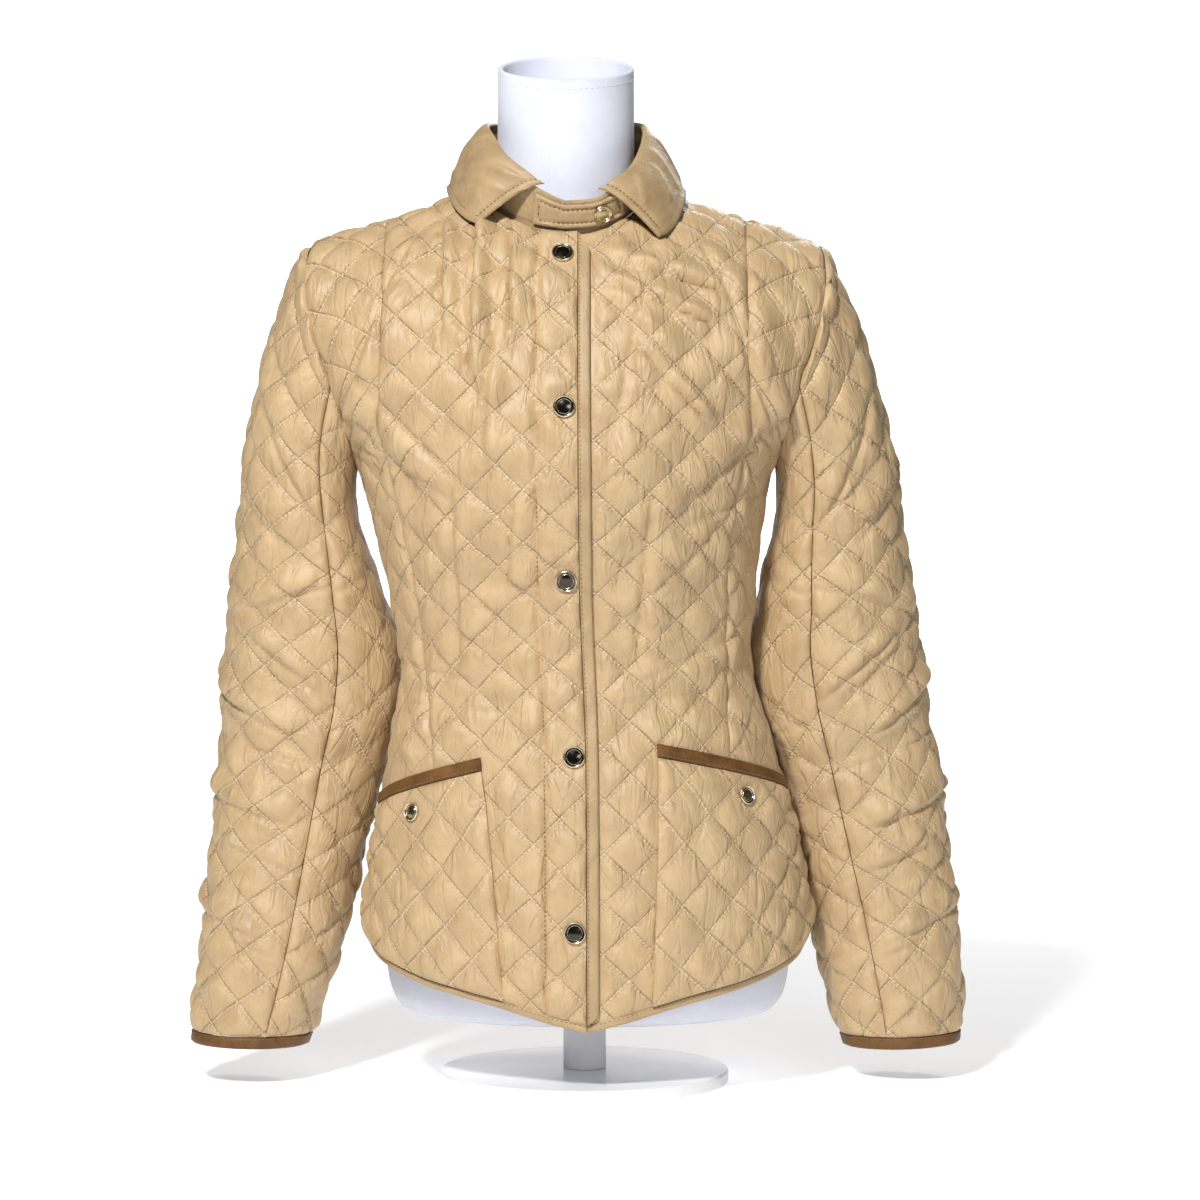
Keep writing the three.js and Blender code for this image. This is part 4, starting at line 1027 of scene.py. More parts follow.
def sleeve_point(rows, side, angle, share):
    where = share * (len(rows["y"]) - 1)
    indexed = dict(rows, at=np.arange(len(rows["y"])))
    ring = {name: through(indexed, "at", name)(where) for name in rows}
    across = (1 + np.cos(angle)) / 2
    points = np.stack(np.broadcast_arrays(
        side * lerp(ring["in_x"], ring["out_x"], across),
        ring["y"] - ring["depth"] * np.sin(angle),
        lerp(ring["in_z"], ring["out_z"], across),
    ), -1)
    over_pocket = smooth(-points[..., 2], -265, -235) * smooth(-points[..., 1], -30, -5)
    clearance = (9.5 + 4 * over_pocket) * smooth(share, 0, 0.07)
    pushed = clear_of_body(points, side, clearance)
    blend = (1 - smooth(share, 0, 0.16)) ** 1.5
    start = armhole_point(np.broadcast_to(angle, points.shape[:-1]), side)
    outwards = 3 * SEAM + WALL * (1 + 0.6 * np.maximum(0, -np.cos(angle)))
    start[..., 0] += side * outwards
    return lerp(pushed, start, np.broadcast_to(blend, points.shape[:-1])[..., None])


def sleeve_middle(rows, side, share):
    return (sleeve_point(rows, side, 0.0, share) + sleeve_point(rows, side, math.pi, share)) / 2


def sleeve_shares(rows, side):
    """Maps an even part of the sleeve's length to its place in the table."""
    fine = np.linspace(0, 1, 241)
    length = lengths_along(sleeve_middle(rows, side, fine)[None], 1)[0]
    return lambda part: np.interp(part * length[-1], length, fine)


def sleeve_normal(rows, side, angle, share, h=0.02):
    round_it = sleeve_point(rows, side, angle + h, share) - sleeve_point(rows, side, angle - h, share)
    low, high = np.maximum(share - h / 4, 0), np.minimum(share + h / 4, 1)
    down = sleeve_point(rows, side, angle, high) - sleeve_point(rows, side, angle, low)
    normal = unit(np.cross(round_it, down)) * side
    at_armhole = unit(normal * np.array([0, 1, 1]))
    return np.where(np.broadcast_to(share, normal.shape[:-1])[..., None] == 0, at_armhole, normal)


def sleeve_flat(points, rows, side, share, middle):
    """Distances round the sleeve from a middle column, and down it from the shoulder."""
    centre = sleeve_middle(rows, side, share[:, 0])
    axis = unit(np.gradient(centre, axis=0))[:, None]
    step = np.diff(points, axis=1)
    around = step - (step * axis).sum(-1, keepdims=True) * axis
    u = np.pad(np.cumsum(np.linalg.norm(around, axis=-1), axis=1), ((0, 0), (1, 0)))
    k = int(middle)
    u = u - lerp(u[:, k], u[:, k + 1], middle - k)[:, None]
    down = lengths_along(centre[None], 1)[0][:, None] + ((points - centre[:, None]) * axis).sum(-1)
    return np.stack([u, -down], -1)

# %% [markdown]
# ## Sleeve pieces
# Each sleeve is cut in two pieces, whose seams run down the front and the back of the arm. The
# cloth buckles in rolls at the elbow, and lies flatter where it touches the body. The flat cloth
# is measured round the sleeve from a middle line, so the diamonds stay straight down the arm.

# %% Sleeve pieces
SLEEVE_FOLDS = table(
    "x1 z1 x2 z2 height wide",
    (10, 262, 60, 240, 3.0, 11), (60, 302, 104, 270, 2.6, 11), (20, 222, 90, 212, -2.0, 9),
    (30, 330, 96, 352, 2.4, 11), (8, 180, 70, 166, 2.6, 10), (50, 140, 104, 126, 2.2, 10),
    (10, 92, 60, 78, 2.4, 10), (70, 66, 104, 56, 1.8, 9), (60, 470, 98, 400, 2.8, 12),
    (20, 430, 60, 396, 2.0, 12), (36, 520, 42, 440, 2.0, 14), (-20, 270, -80, 254, 3.0, 12),
    (-40, 232, -104, 240, 2.6, 11), (-30, 196, -96, 204, -2.0, 9), (-56, 312, -104, 330, 2.4, 11),
    (-20, 150, -90, 138, 2.4, 11), (-30, 96, -84, 84, 2.0, 10), (-60, 480, -96, 410, 2.6, 12),
    (-28, 440, -40, 380, 2.0, 13), (130, 300, 175, 282, 2.4, 12), (120, 250, 176, 240, 2.2, 11),
    (126, 180, 180, 170, 2.0, 11),
)
SLEEVE_LENGTH = 520


def sleeve_piece(side_name, kind, start, end, columns, seed):
    rows_table, side = SLEEVES[side_name], SIDES[side_name]
    rows = round(SLEEVE_TALL / CELL)
    parts = np.linspace(0, CUFF_SHARE, rows + 1)
    share = sleeve_shares(rows_table, side)(parts)[:, None]
    angle = np.radians(np.linspace(start + 0.35, end - 0.35, columns + 1))[None]
    points = sleeve_point(rows_table, side, angle, share)
    normals = sleeve_normal(rows_table, side, angle, share)
    middle = (-start if kind == "top" else 180 - start) / (end - start) * columns
    flat = sleeve_flat(points, rows_table, side, share, middle)
    pattern = unevenly_sewn(flat, seed)
    ease = edge_ease(points)
    near_body = smooth(-np.cos(angle), 0.2, 0.8) * (1 - smooth(parts, 0.16, 0.3))[:, None]
    to_side = smooth(-np.cos(angle), 0.3, 0.8) * (1 - smooth(parts, 0.55, 0.75))[:, None]
    place = flat[..., 0] if kind == "top" else flat[..., 0] + 150
    folds, pinch = fold_height(SLEEVE_FOLDS, place, SLEEVE_LENGTH + flat[..., 1])
    swell = quilt(pattern, seed) * ease * (1 - 0.7 * np.maximum(near_body, 0.7 * to_side))
    swell *= 1 - 0.75 * pinch
    folds = (folds - TUCK_DEEP * pinch) * edge_ease(points, 30) * (1 - near_body)
    folds = np.where(np.cos(angle) < -0.1, np.minimum(folds, 0.8), folds)
    inner = points + normals * folds[..., None]
    name = f"sleeve_{side_name}_{kind}"
    quilted_wall(name, name, inner, normals, cloth_thickness(ease) + swell, pattern, flat, points)


for seed, side_name in enumerate(SLEEVES):
    sleeve_piece(side_name, "top", -BACK_SEAM, FRONT_SEAM, 92, 60 + 10 * seed)
    sleeve_piece(side_name, "under", FRONT_SEAM, 360 - BACK_SEAM, 48, 65 + 10 * seed)

# %% [markdown]
# ## Cloth bindings
# The front edge and the hem are bound with a narrow strip of the plain face cloth, folded over
# the raw edge. A bevel on the panels would have no seam, so each binding is a strip of its own,
# thickest in its middle, that rolls over at both edges.

# %% Front edge and hem bindings
THIN_EDGE = 0.35
BINDING_ROWS = 230


def roll_over(count):
    """Thickness across a folded strip: thin at its edges and full inside."""
    across = np.linspace(-1, 1, count + 1)
    return THIN_EDGE + (1 - THIN_EDGE) * np.sqrt(np.maximum(1 - np.abs(across) ** 4, 0))


def strip(name, points, normals, lift, thickness, material, tube=False):
    inner = points + normals * np.asarray(lift)[..., None]
    outer = inner + normals * thickness[..., None]
    flat = flat_place(points, 0)
    return finished(wall(name, inner, outer, material, flat, tube), name)


def edge_lines(rows, columns):
    """Grid of the right front's edge binding."""
    v, u = np.meshgrid(np.linspace(0, 1, rows + 1), np.linspace(0, 1, columns + 1), indexing="ij")
    offset = lerp(LAP - EDGE_BINDING + SEAM, LAP, u)
    z = lerp(HEM_Z, front_neckline(LAP), v)
    for _ in range(8):
        angle = angle_at(centre_lean(z) + offset, z)
        z = row_height(v, hem_of(angle) + 6 * u, top_of(angle, False) - 16 * u)
    return body_surface(angle_at(centre_lean(z) + offset, z), z)


binding_points, binding_normals = edge_lines(BINDING_ROWS, 8)
puckers = 0.16 * ripple(binding_points[..., 2] * 3, binding_points[..., 0], 5, 9)
puckers = puckers * (roll_over(8) - THIN_EDGE)
trims = {"front-centre-right-panel": [], "front-centre-left-panel": [], "back-panel": []}
trims["front-centre-right-panel"].append(strip(
    "front_edge_binding", binding_points, binding_normals, lap_lift(binding_points),
    TRIM * roll_over(8) + puckers, plain_satin))

WRAP = 0.9
HEM_ENDS = {
    "right": (side_line(-1), front_line(LAP - EDGE_BINDING), False),
    "left": (front_line(-LAP), side_line(1), False),
    "back": (side_line(-1), side_line(1), True),
}
for hem_name, (start_line, end_line, is_back) in HEM_ENDS.items():
    start, end = start_line(HEM_Z), end_line(HEM_Z)
    edge = SEAM / body_half(HEM_Z) * np.sign(end - start)
    count = 180 if is_back else 110
    angle = np.linspace(start + edge, end - edge, count + 1)[None]
    top = hem_of(angle) + WRAP
    z = lerp(top - WRAP - HEM_BINDING - 3 * SEAM, top, np.linspace(0, 1, 7)[:, None])
    points, normals = body_surface(np.broadcast_to(angle, z.shape), z, is_back)
    lift = lap_lift(points) if hem_name == "right" else np.zeros(z.shape)
    thickness = (TRIM - SEAM) * roll_over(6)[:, None] + 0.12 * ripple(points[..., 0] * 3, z, 8, 8)
    carried_by = "back-panel" if is_back else f"front-centre-{hem_name}-panel"
    trims[carried_by].append(strip(f"hem_binding_{hem_name}", points, normals, lift, thickness,
                                   plain_satin))

# %% [markdown]
# ## Patch pockets
# A patch pocket is one quilted piece, sewn onto the front along its inner edge and caught in the
# side seam and the hem. It uses the body's own points, lifted off them, so it follows the front
# without a gap. Its slanting top is bound with brown leather, made like the cloth bindings.

# %% Pockets and their leather
POCKET_LIFT, POCKET_SIDE = 3.1, 84
POCKET_SNAPS = {"right": (-122, 205), "left": (115, 217)}
POCKET_SNAP_RADIUS = 7


def pocket_grid(side_name, rows, columns, above):
    pocket, side = POCKETS[side_name], SIDES[side_name]
    v, u = np.meshgrid(np.linspace(0, 1, rows + 1), np.linspace(0, 1, columns + 1), indexing="ij")
    outer = side * math.radians(POCKET_SIDE)
    z = np.full(u.shape, float(pocket["inner_z"]))
    for _ in range(8):
        share = np.clip((z - HEM_Z) / (pocket["inner_z"] - HEM_Z), 0, 1)
        inner = angle_at(body_centre(z) + side * lerp(pocket["hem"], pocket["top"], share), z)
        angle = lerp(inner, outer, u)
        top = lerp(pocket["inner_z"], pocket["side_z"], u)
        z = top + SEAM + LEATHER_TALL * v if above else lerp(hem_of(angle) + 1, top, v)
    return body_surface(angle, z)


for seed, side_name in enumerate(POCKETS):
    points, normals = pocket_grid(side_name, 64, 56, False)
    flat = flat_place(points, 0)
    pattern = unevenly_sewn(flat, 90 + seed)
    snap_x, snap_z = POCKET_SNAPS[side_name]
    away = np.hypot(points[..., 0] - body_centre(points[..., 2]) - snap_x, points[..., 2] - snap_z)
    ease = edge_ease(points)
    swell = quilt(pattern, 90 + seed) * ease * smooth(away, 6, 2.4 * SNAP_RADIUS)
    inner = points + normals * POCKET_LIFT
    name = f"pocket_{side_name}"
    quilted_wall(name, name, inner, normals, cloth_thickness(ease) + swell, pattern, flat, points)
    points, normals = pocket_grid(side_name, 8, 56, True)
    thickness = TRIM * roll_over(8)[:, None] + 0.1 * ripple(flat[:9, :, 0] * 2, flat[:9, :, 1], 7, 12)
    trims[f"pocket-{side_name}"] = [strip(
        f"pocket_trim_{side_name}", points, normals, np.full(thickness.shape, POCKET_LIFT), thickness,
        leather)]

# %% [markdown]
# ## Cuffs
# The sleeve ends are bound with the same leather. A loop that follows the last rings of the
# sleeve fits them better than a turned ring would, because the cuff is an oval and hangs askew.

# %% Cuff bindings
def cuff(side_name, columns=150, rows=8):
    rows_table, side = SLEEVES[side_name], SIDES[side_name]
    angle = np.radians(FRONT_SEAM + 360 * np.arange(columns) / columns)[None]
    parts = np.linspace(CUFF_SHARE + SEAM / SLEEVE_TALL, 1, rows + 1)
    share = sleeve_shares(rows_table, side)(parts)[:, None]
    points = sleeve_point(rows_table, side, angle, share)
    normals = sleeve_normal(rows_table, side, angle, share)
    uneven = 0.12 * ripple(points[..., 0] * 2, points[..., 1] * 2, 3, 14)
    thickness = (TRIM + 0.2) * roll_over(rows)[:, None] + uneven
    trims[f"sleeve-{side_name}-top"] = [strip(
        f"cuff_trim_{side_name}", points, normals, np.full(thickness.shape, -0.2), thickness, leather,
        True)]
    return points, normals


cuffs = {side_name: cuff(side_name) for side_name in SLEEVES}
print("cuff centres, mm:", {k: p.reshape(-1, 3).mean(0).round(1) for k, (p, _) in cuffs.items()})

# %% [markdown]
# ## Collar shape
# The shirt-style collar is plain face cloth over a firm lining: a stand that follows the neck,
# and a fall that rolls over it and spreads into two points. Two curves round the neck, the roll
# and the outer edge, are easier to match to a photograph than a cut that is then draped.

# %% Collar curves and walls
COLLAR = table(
    "at roll_x roll_y roll_z edge_x edge_y edge_z",
    (0.00, 0, -72, 651, -50, -64, 632), (0.03, -11, -72, 656, -63, -62, 634),
    (0.09, -30, -69, 668, -75, -53, 641), (0.15, -43, -60, 680, -83, -38, 652),
    (0.22, -53, -35, 697, -88, -15, 664), (0.30, -58, -10, 709, -87, 12, 667),
    (0.38, -52, 22, 716, -73, 44, 664), (0.45, -26, 43, 720, -38, 64, 661),
    (0.50, 0, 47, 722, 0, 69, 660), (0.55, 26, 43, 720, 38, 64, 661),
    (0.62, 52, 22, 716, 73, 44, 664), (0.70, 58, -10, 706, 87, 12, 667),
    (0.78, 55, -35, 688, 89, -14, 660), (0.85, 46, -58, 670, 86, -36, 648),
    (0.90, 34, -69, 660, 79, -54, 633), (0.95, 21, -71, 653, 68, -65, 624),
    (1.00, 0, -72, 651, 50, -66, 624),
)
STAND_THICK, FALL_THICK = 1.8, 2.4
FALL_FROM, FALL_TO = 0.03, 0.95
CUT_BACK, CUT_BACK_REACH = 0.26, 0.09
ROLL_UP, SPREAD, CROWN = 8, 9, 9
roll_curves = [through(COLLAR, "at", f"roll_{axis}") for axis in "xyz"]
edge_curves = [through(COLLAR, "at", f"edge_{axis}") for axis in "xyz"]


def collar_base(at):
    x = -NECK_HALF * np.sin(2 * np.pi * at)
    back = np.cos(2 * np.pi * at) < 0
    z = np.minimum(np.where(back, back_neckline(x), front_neckline(x)), ridge(x))
    angle = angle_at(x, z)
    points = np.where(back[..., None], body_point(angle, z, True), body_point(angle, z, False))
    inwards = unit(body_normal(points) * np.array([1, 1, 0])) * (-STAND_THICK - 3 * SEAM)
    return points + inwards + np.array([0, 0, 7 * SEAM])


def stand_point(at, up):
    share = np.mod(at, 1)
    roll = np.stack([curve(share) for curve in roll_curves], -1)
    return lerp(collar_base(share), roll, np.asarray(up)[..., None])


def fall_point(at, down):
    at, down = np.broadcast_arrays(at, down)
    roll = np.stack([curve(at) for curve in roll_curves], -1) + np.array([0, 0, FALL_THICK])
    edge = np.stack([curve(at) for curve in edge_curves], -1)
    out = (edge - roll) * np.array([1, 1, 0])
    out = unit(out + np.array([0, -75, 0]) * smooth(np.abs(at - 0.5), 0.28, 0.44)[..., None])
    rise = roll + np.array([0, 0, ROLL_UP]) + 0.5 * out
    turn = lerp(roll, edge, 0.25) + np.array([0, 0, CROWN]) + SPREAD * out
    t = down[..., None]
    return (1 - t) ** 3 * roll + 3 * t * (1 - t) ** 2 * rise + 3 * t * t * (1 - t) * turn + t**3 * edge


def side_of(points):
    return unit(np.cross(np.gradient(points, axis=1), np.gradient(points, axis=0)))


def collar_wall(name, points, thick, relief_out, outside=1, rests_on=("form_torso",)):
    """Plain cloth of even thickness about a surface, with rounded rims and relief outside."""
    normals = outside * side_of(points)
    ease = edge_ease(points, 1.6)[..., None]
    half = thick / 2 * (0.35 + 0.65 * ease)
    inner = points - normals * half
    outer = points + normals * (half + np.asarray(relief_out)[..., None])
    flat = flat_place(points, points.shape[1] / 2)
    piece = finished(wall(name, inner, outer, plain_satin, flat), name)
    cut_size(piece, flat, points, rests_on)
    return normals


def from_edges(points, bottom=True, top=True):
    """Distance on the cloth to the ends and to the other chosen edges."""
    across, up = lengths_along(points, 1), lengths_along(points, 0)
    away = np.minimum(across, across[:, -1:] - across)
    if bottom:
        away = np.minimum(away, up)
    if top:
        away = np.minimum(away, up[-1:] - up)
    return away


COLLAR_BAND, TAB_BAND = 6.0, 4.0
BAND_GROOVE, BAND_PUCKER, BAND_SWELL = 0.95, 0.42, 0.5


def sewn_band(away, u, v, seed, band=COLLAR_BAND):
    """A stitched band: a groove at the stitches, and small puckers between them and the rim."""
    def bump(middle, reach):
        return np.exp(-(((away - middle) / reach) ** 2))

    pucker = BAND_PUCKER * bump(0.55 * band, 0.4 * band) * ripple(u * 2.4, v * 2.4, seed, 8)
    return pucker - BAND_GROOVE * bump(band, 1.0) + BAND_SWELL * bump(0.5 * band, 0.32 * band)


print("collar: roll rises from", COLLAR["roll_z"].min(), "to", COLLAR["roll_z"].max(), "mm")

# %% [markdown]
# ## Collar fall
# The fall hangs from the roll and ends in a point on each side. Sewn edges turn back on
# themselves, so the wall rounds off at the rim, and a stitched line holds a band along it. A few
# soft folds run down from the roll where it bends the most.

# %% Collar fall
def collar_fall_points(columns=240, rows=58):
    u = lerp(FALL_FROM, FALL_TO, np.linspace(0, 1, columns + 1))[None]
    v = (np.linspace(0, 1, rows + 1) ** 1.3)[:, None]
    cut_back = 2 - smooth(u - FALL_FROM, 0, CUT_BACK_REACH) - smooth(FALL_TO - u, 0, CUT_BACK_REACH)
    return fall_point(u, lerp(CUT_BACK * cut_back, 1, v))


fall_points = collar_fall_points()
fall_away = from_edges(fall_points, bottom=False)
fall_flat = flat_place(fall_points, 120)
FALL_FOLDS = table(
    "x1 z1 x2 z2 height wide",
    (-200, 20, -160, 40, 1.5, 6), (-176, 12, -140, 34, 1.3, 6), (-150, 34, -126, 52, 1.2, 5),
    (-112, 20, -96, 50, 0.9, 7), (-60, 20, -48, 52, 0.8, 8), (20, 25, 30, 52, 0.8, 8),
    (84, 20, 78, 50, 0.9, 7), (118, 18, 132, 54, 1.3, 5), (140, 16, 156, 50, 1.5, 5),
    (162, 24, 178, 48, 1.2, 4), (176, 12, 200, 30, 0.9, 5),
)
FOLD_PART, TUCK_PART, DEEPEST = 0.7, 1.1, -1.7
fall_roll, fall_tuck = fold_height(FALL_FOLDS, fall_flat[..., 0], fall_flat[..., 1])
soft_wave = 0.8 * ripple(fall_flat[..., 0], fall_flat[..., 1], 31, 26)
soft_wave = soft_wave + FOLD_PART * fall_roll - TUCK_PART * fall_tuck
fall_relief = sewn_band(fall_away, fall_flat[..., 0], fall_flat[..., 1], 32)
fall_relief = np.maximum(fall_relief + soft_wave * smooth(fall_away, 5, 14), DEEPEST)
fall_normals = collar_wall("collar_fall", fall_points, FALL_THICK, fall_relief)
print("collar span, mm:", np.ptp(fall_points.reshape(-1, 3), axis=0).round(0))

# %% [markdown]
# ## Stand and throat tab
# The stand closes round the throat, and a short tab laps over its opening and is held by one
# snap. The tab is made from the stand's own points, lifted by both thicknesses, so it bends with
# the stand.

# %% Stand and tab
stand_at = np.linspace(0, 1, 201)[None]
stand_points = stand_point(stand_at, np.broadcast_to(np.linspace(0, 0.95, 17)[:, None], (17, 201)))
stand_away = from_edges(stand_points, top=False)
stand_relief = sewn_band(stand_away, stand_points[..., 0], stand_points[..., 2], 33, TAB_BAND)
collar_wall("collar_stand", stand_points, STAND_THICK, stand_relief, -1)

TAB = {"from": 0.058, "to": -0.115, "low": 0.16, "high": 0.84, "thick": 1.8}
TAB_SNAP = {"at": -0.066, "up": 0.48, "radius": 7}


def stand_out(at, h=0.002):
    along = stand_point(at + h, 0.5 + 0 * at) - stand_point(at - h, 0.5 + 0 * at)
    up = stand_point(at, 0.6 + 0 * at) - stand_point(at, 0.4 + 0 * at)
    return unit(np.cross(up, along))


def tab_surface(columns=70, rows=18):
    u, v = np.meshgrid(np.linspace(0, 1, columns + 1), np.linspace(0, 1, rows + 1))
    at = lerp(TAB["to"], TAB["from"], u)
    lift = (STAND_THICK + TAB["thick"]) / 2 + 2 * SEAM
    return stand_point(at, lerp(TAB["low"], TAB["high"], v)) + stand_out(at) * lift


tab_points = tab_surface()
tab_away = from_edges(tab_points)
tab_relief = sewn_band(tab_away, tab_points[..., 0], tab_points[..., 2], 34, TAB_BAND)
tab_normals = collar_wall("throat_tab", tab_points, TAB["thick"], tab_relief, -1, ("collar_stand",))
print("tab, mm:", np.ptp(tab_points.reshape(-1, 3), axis=0).round(1))

# %% [markdown]
# ## Snaps
# Each snap cap is pressed metal: a flat flange on the cloth, a raised rim, a fine bright ring
# inside it, and a dark polished centre that bulges a little. It is one turned shape, so one
# outline with a finish for each step of it makes all eight.

# %% Snap caps
SNAP_OUTLINE = np.array([
    (0.0, 0.0), (0.97, 0.0), (1.0, 0.15), (1.0, 0.7), (0.985, 1.0), (0.95, 1.25), (0.91, 1.35),
    (0.88, 1.28), (0.865, 1.08), (0.84, 0.98), (0.76, 0.95), (0.69, 0.98), (0.68, 1.08),
    (0.66, 1.14), (0.64, 1.08), (0.63, 0.98), (0.58, 1.0), (0.5, 1.08), (0.4, 1.17), (0.3, 1.25),
    (0.2, 1.31), (0.1, 1.34), (0.0, 1.35),
])
DARK_RINGS = (8, 9, 10, 14, 15, 16, 17, 18, 19, 20)
SNAP_SIDES, SNAP_TALL = 64, 1.6


def snap_cap(name, seat, direction, radius, centre):
    direction = unit(np.asarray(direction, float))
    across = unit(np.cross(direction, np.array([0.0, 0.0, 1.0])))
    up = np.cross(across, direction)
    turn = 2 * np.pi * np.arange(SNAP_SIDES) / SNAP_SIDES
    ring = np.cos(turn)[:, None] * across + np.sin(turn)[:, None] * up
    inside = SNAP_OUTLINE[1:-1]
    rings = [seat + r * radius * ring + SNAP_TALL * h * direction for r, h in inside]
    points, faces = closed_tube(rings, [seat, seat + SNAP_TALL * SNAP_OUTLINE[-1, 1] * direction])
    piece = add_mesh(name, points, faces, pale_brass, sharp=50)
    piece.data.materials.append(centre)
    last = len(inside) - 1
    ring_of = np.append(np.repeat(np.arange(last), SNAP_SIDES), [0, last] * SNAP_SIDES)
    piece.data.polygons.foreach_set("material_index", np.isin(ring_of, DARK_RINGS).astype(np.int32))
    return finished(piece, name)


def snap_on_body(name, x, z, lift, radius, centre):
    point, normal = body_surface(angle_at(x, z), np.float64(z))
    snap_cap(name, point + normal * (lift + WALL + 0.2), normal, radius, centre)


for k, (snap_x, snap_z) in enumerate(zip(*FRONT_SNAPS.values())):
    snap_on_body(f"snap_front_{k + 1}", snap_x, snap_z, LAP_LIFT, SNAP_RADIUS, dark_centre)
for side_name, (snap_x, snap_z) in POCKET_SNAPS.items():
    snap_on_body(f"snap_pocket_{side_name}", body_centre(snap_z) + snap_x, snap_z, POCKET_LIFT,
                 POCKET_SNAP_RADIUS, warm_centre)
tab_at = np.array(TAB_SNAP["at"])
tab_seat = stand_point(tab_at, np.array(TAB_SNAP["up"]))
tab_seat = tab_seat + stand_out(tab_at) * (STAND_THICK / 2 + TAB["thick"] + 2 * SEAM + 0.2)
snap_cap("snap_collar", tab_seat, stand_out(tab_at), TAB_SNAP["radius"], warm_centre)
print("snap height above its cloth:", SNAP_TALL * SNAP_OUTLINE[:, 1].max(), "mm")

# %% [markdown]
# ## Dress form
# The form is a firm torso with a stretch cover. It has no limbs: the arms are cut off flat at
# the shoulder under the sleeves, and the neck is a short open tube, cut at a slant. Its levels
# are the body's, a little smaller, so the jacket rests on it.

# %% Form torso
FORM_NECK = {"half": 51, "depth": 45, "y": -8, "rim": 758, "slant": 0.378}
FORM_ARM = 172
FORM_GAP = table(
    "z gap", (50, 19), (110, 14), (185, 8), (247, 4), (308, 2.4), (482, 2.4), (600, 2.6),
    (640, 4.4), (662, 5.2),
)
form_gap = through(FORM_GAP, "z", "gap")
FORM_SIDES = 144
NECK_FROM_Z, NECK_TOP_Z = 560, 700


def soft_max(a, b, width):
    return np.maximum(a, b) + np.maximum(width - np.abs(a - b), 0) ** 2 / (4 * width)


def form_depth(x, z, is_back):
    gap = form_gap(z)
    across = np.clip((x - body_centre(z)) / (body_half(z) - gap), -1, 1)
    reach = np.where(is_back, SHOULDER_REACH[True], SHOULDER_REACH[False])
    swell = np.sqrt(np.maximum(fullness(ridge(x) - gap - z, reach), 0))
    body = (np.where(is_back, body_back(z), body_front(z)) - gap) * np.sqrt(1 - across**2) * swell
    forward = np.where(is_back, 1, -1) * (FORM_NECK["y"] - MID_Y)
    in_neck = 1 - (x / FORM_NECK["half"]) ** 2
    neck = forward + FORM_NECK["depth"] * np.sqrt(np.maximum(in_neck, 0)) + 40 * np.minimum(in_neck, 0)
    return soft_max(body, np.where(z > NECK_FROM_Z, neck, -99), 5)


def form_point(turn, z, scale=1.0):
    shoulder = NECK_HALF + (NECK_Z - form_gap(z) - z) / SLOPE
    widest = np.minimum(body_half(z) - form_gap(z), FORM_ARM)
    half = soft_max(np.minimum(widest, shoulder), FORM_NECK["half"], 6)
    x = body_centre(z) + half * np.sin(turn) * scale
    is_back = np.cos(turn) < 0
    fit = (x - body_centre(z)) / scale + body_centre(z)
    depth = form_depth(fit, z, is_back) * scale
    return np.stack(np.broadcast_arrays(x, MID_Y + np.where(is_back, depth, -depth), z), -1)


def neck_point(turn, rise, inset, drop):
    x = (FORM_NECK["half"] - inset) * np.sin(turn)
    y = FORM_NECK["y"] - (FORM_NECK["depth"] - inset) * np.cos(turn)
    z = lerp(NECK_TOP_Z, FORM_NECK["rim"], rise) + FORM_NECK["slant"] * (y - FORM_NECK["y"]) * rise - drop
    return np.stack([x, y, z], -1)


turn = 2 * np.pi * (np.arange(FORM_SIDES) + 0.5) / FORM_SIDES
foot = through(table("z scale", (50, 0.8), (53, 0.9), (61, 0.96), (73, 0.99), (85, 1.0)), "z", "scale")
foot_z = 50 + 35 * np.linspace(0, 1, 14) ** 2
levels = np.concatenate([np.arange(90, 560, 6.0), np.arange(562, 682, 3.0)])
rings = [form_point(turn, z, foot(z)) for z in foot_z]
rings += [form_point(turn, z) for z in levels]
rings += [neck_point(turn, rise, 0, 0) for rise in np.linspace(0, 0.97, 22)]
NECK_WALL, NECK_DEPTH = 4, 30
for swing in np.linspace(0, np.pi, 9):
    inset = NECK_WALL / 2 * (1 - np.cos(swing))
    rings.append(neck_point(turn, 1, inset, 1.4 - 1.4 * np.sin(swing)))
rings += [neck_point(turn, 1, NECK_WALL, drop) for drop in np.linspace(3, NECK_DEPTH, 10)]
ends = [rings[0].mean(0), rings[-1].mean(0)]
form_mesh = closed_tube(rings, ends)
finished(add_mesh("form_torso_cover", *form_mesh, white_knit), "form_torso")
print("form rings:", len(rings), "rim from", ends[1].round(1))

# %% [markdown]
# ## Post and disc
# The form stands on a short post and a flat disc, both turned and painted white. They are plain,
# because the photograph shows neither. The disc's upper edge is rounded over.

# %% Post and disc
POST_RADIUS = 16
DISC_RADIUS, DISC_TALL, DISC_ROUND = 108, 9, 2


def turned(name, node_name, outline, sides=96):
    """A piece turned about the stand's axis, from its radii and heights."""
    turn = 2 * np.pi * np.arange(sides) / sides
    circle = np.stack([np.cos(turn), np.sin(turn), 0 * turn], -1)
    heights = [np.append(FORM_BASE_MIDDLE, h) for _, h in outline]
    rings = [height + r * circle for (r, _), height in zip(outline, heights)]
    mesh = closed_tube(rings, [heights[0], heights[-1]])
    finished(add_mesh(name, *mesh, white_paint, sharp=40), node_name)


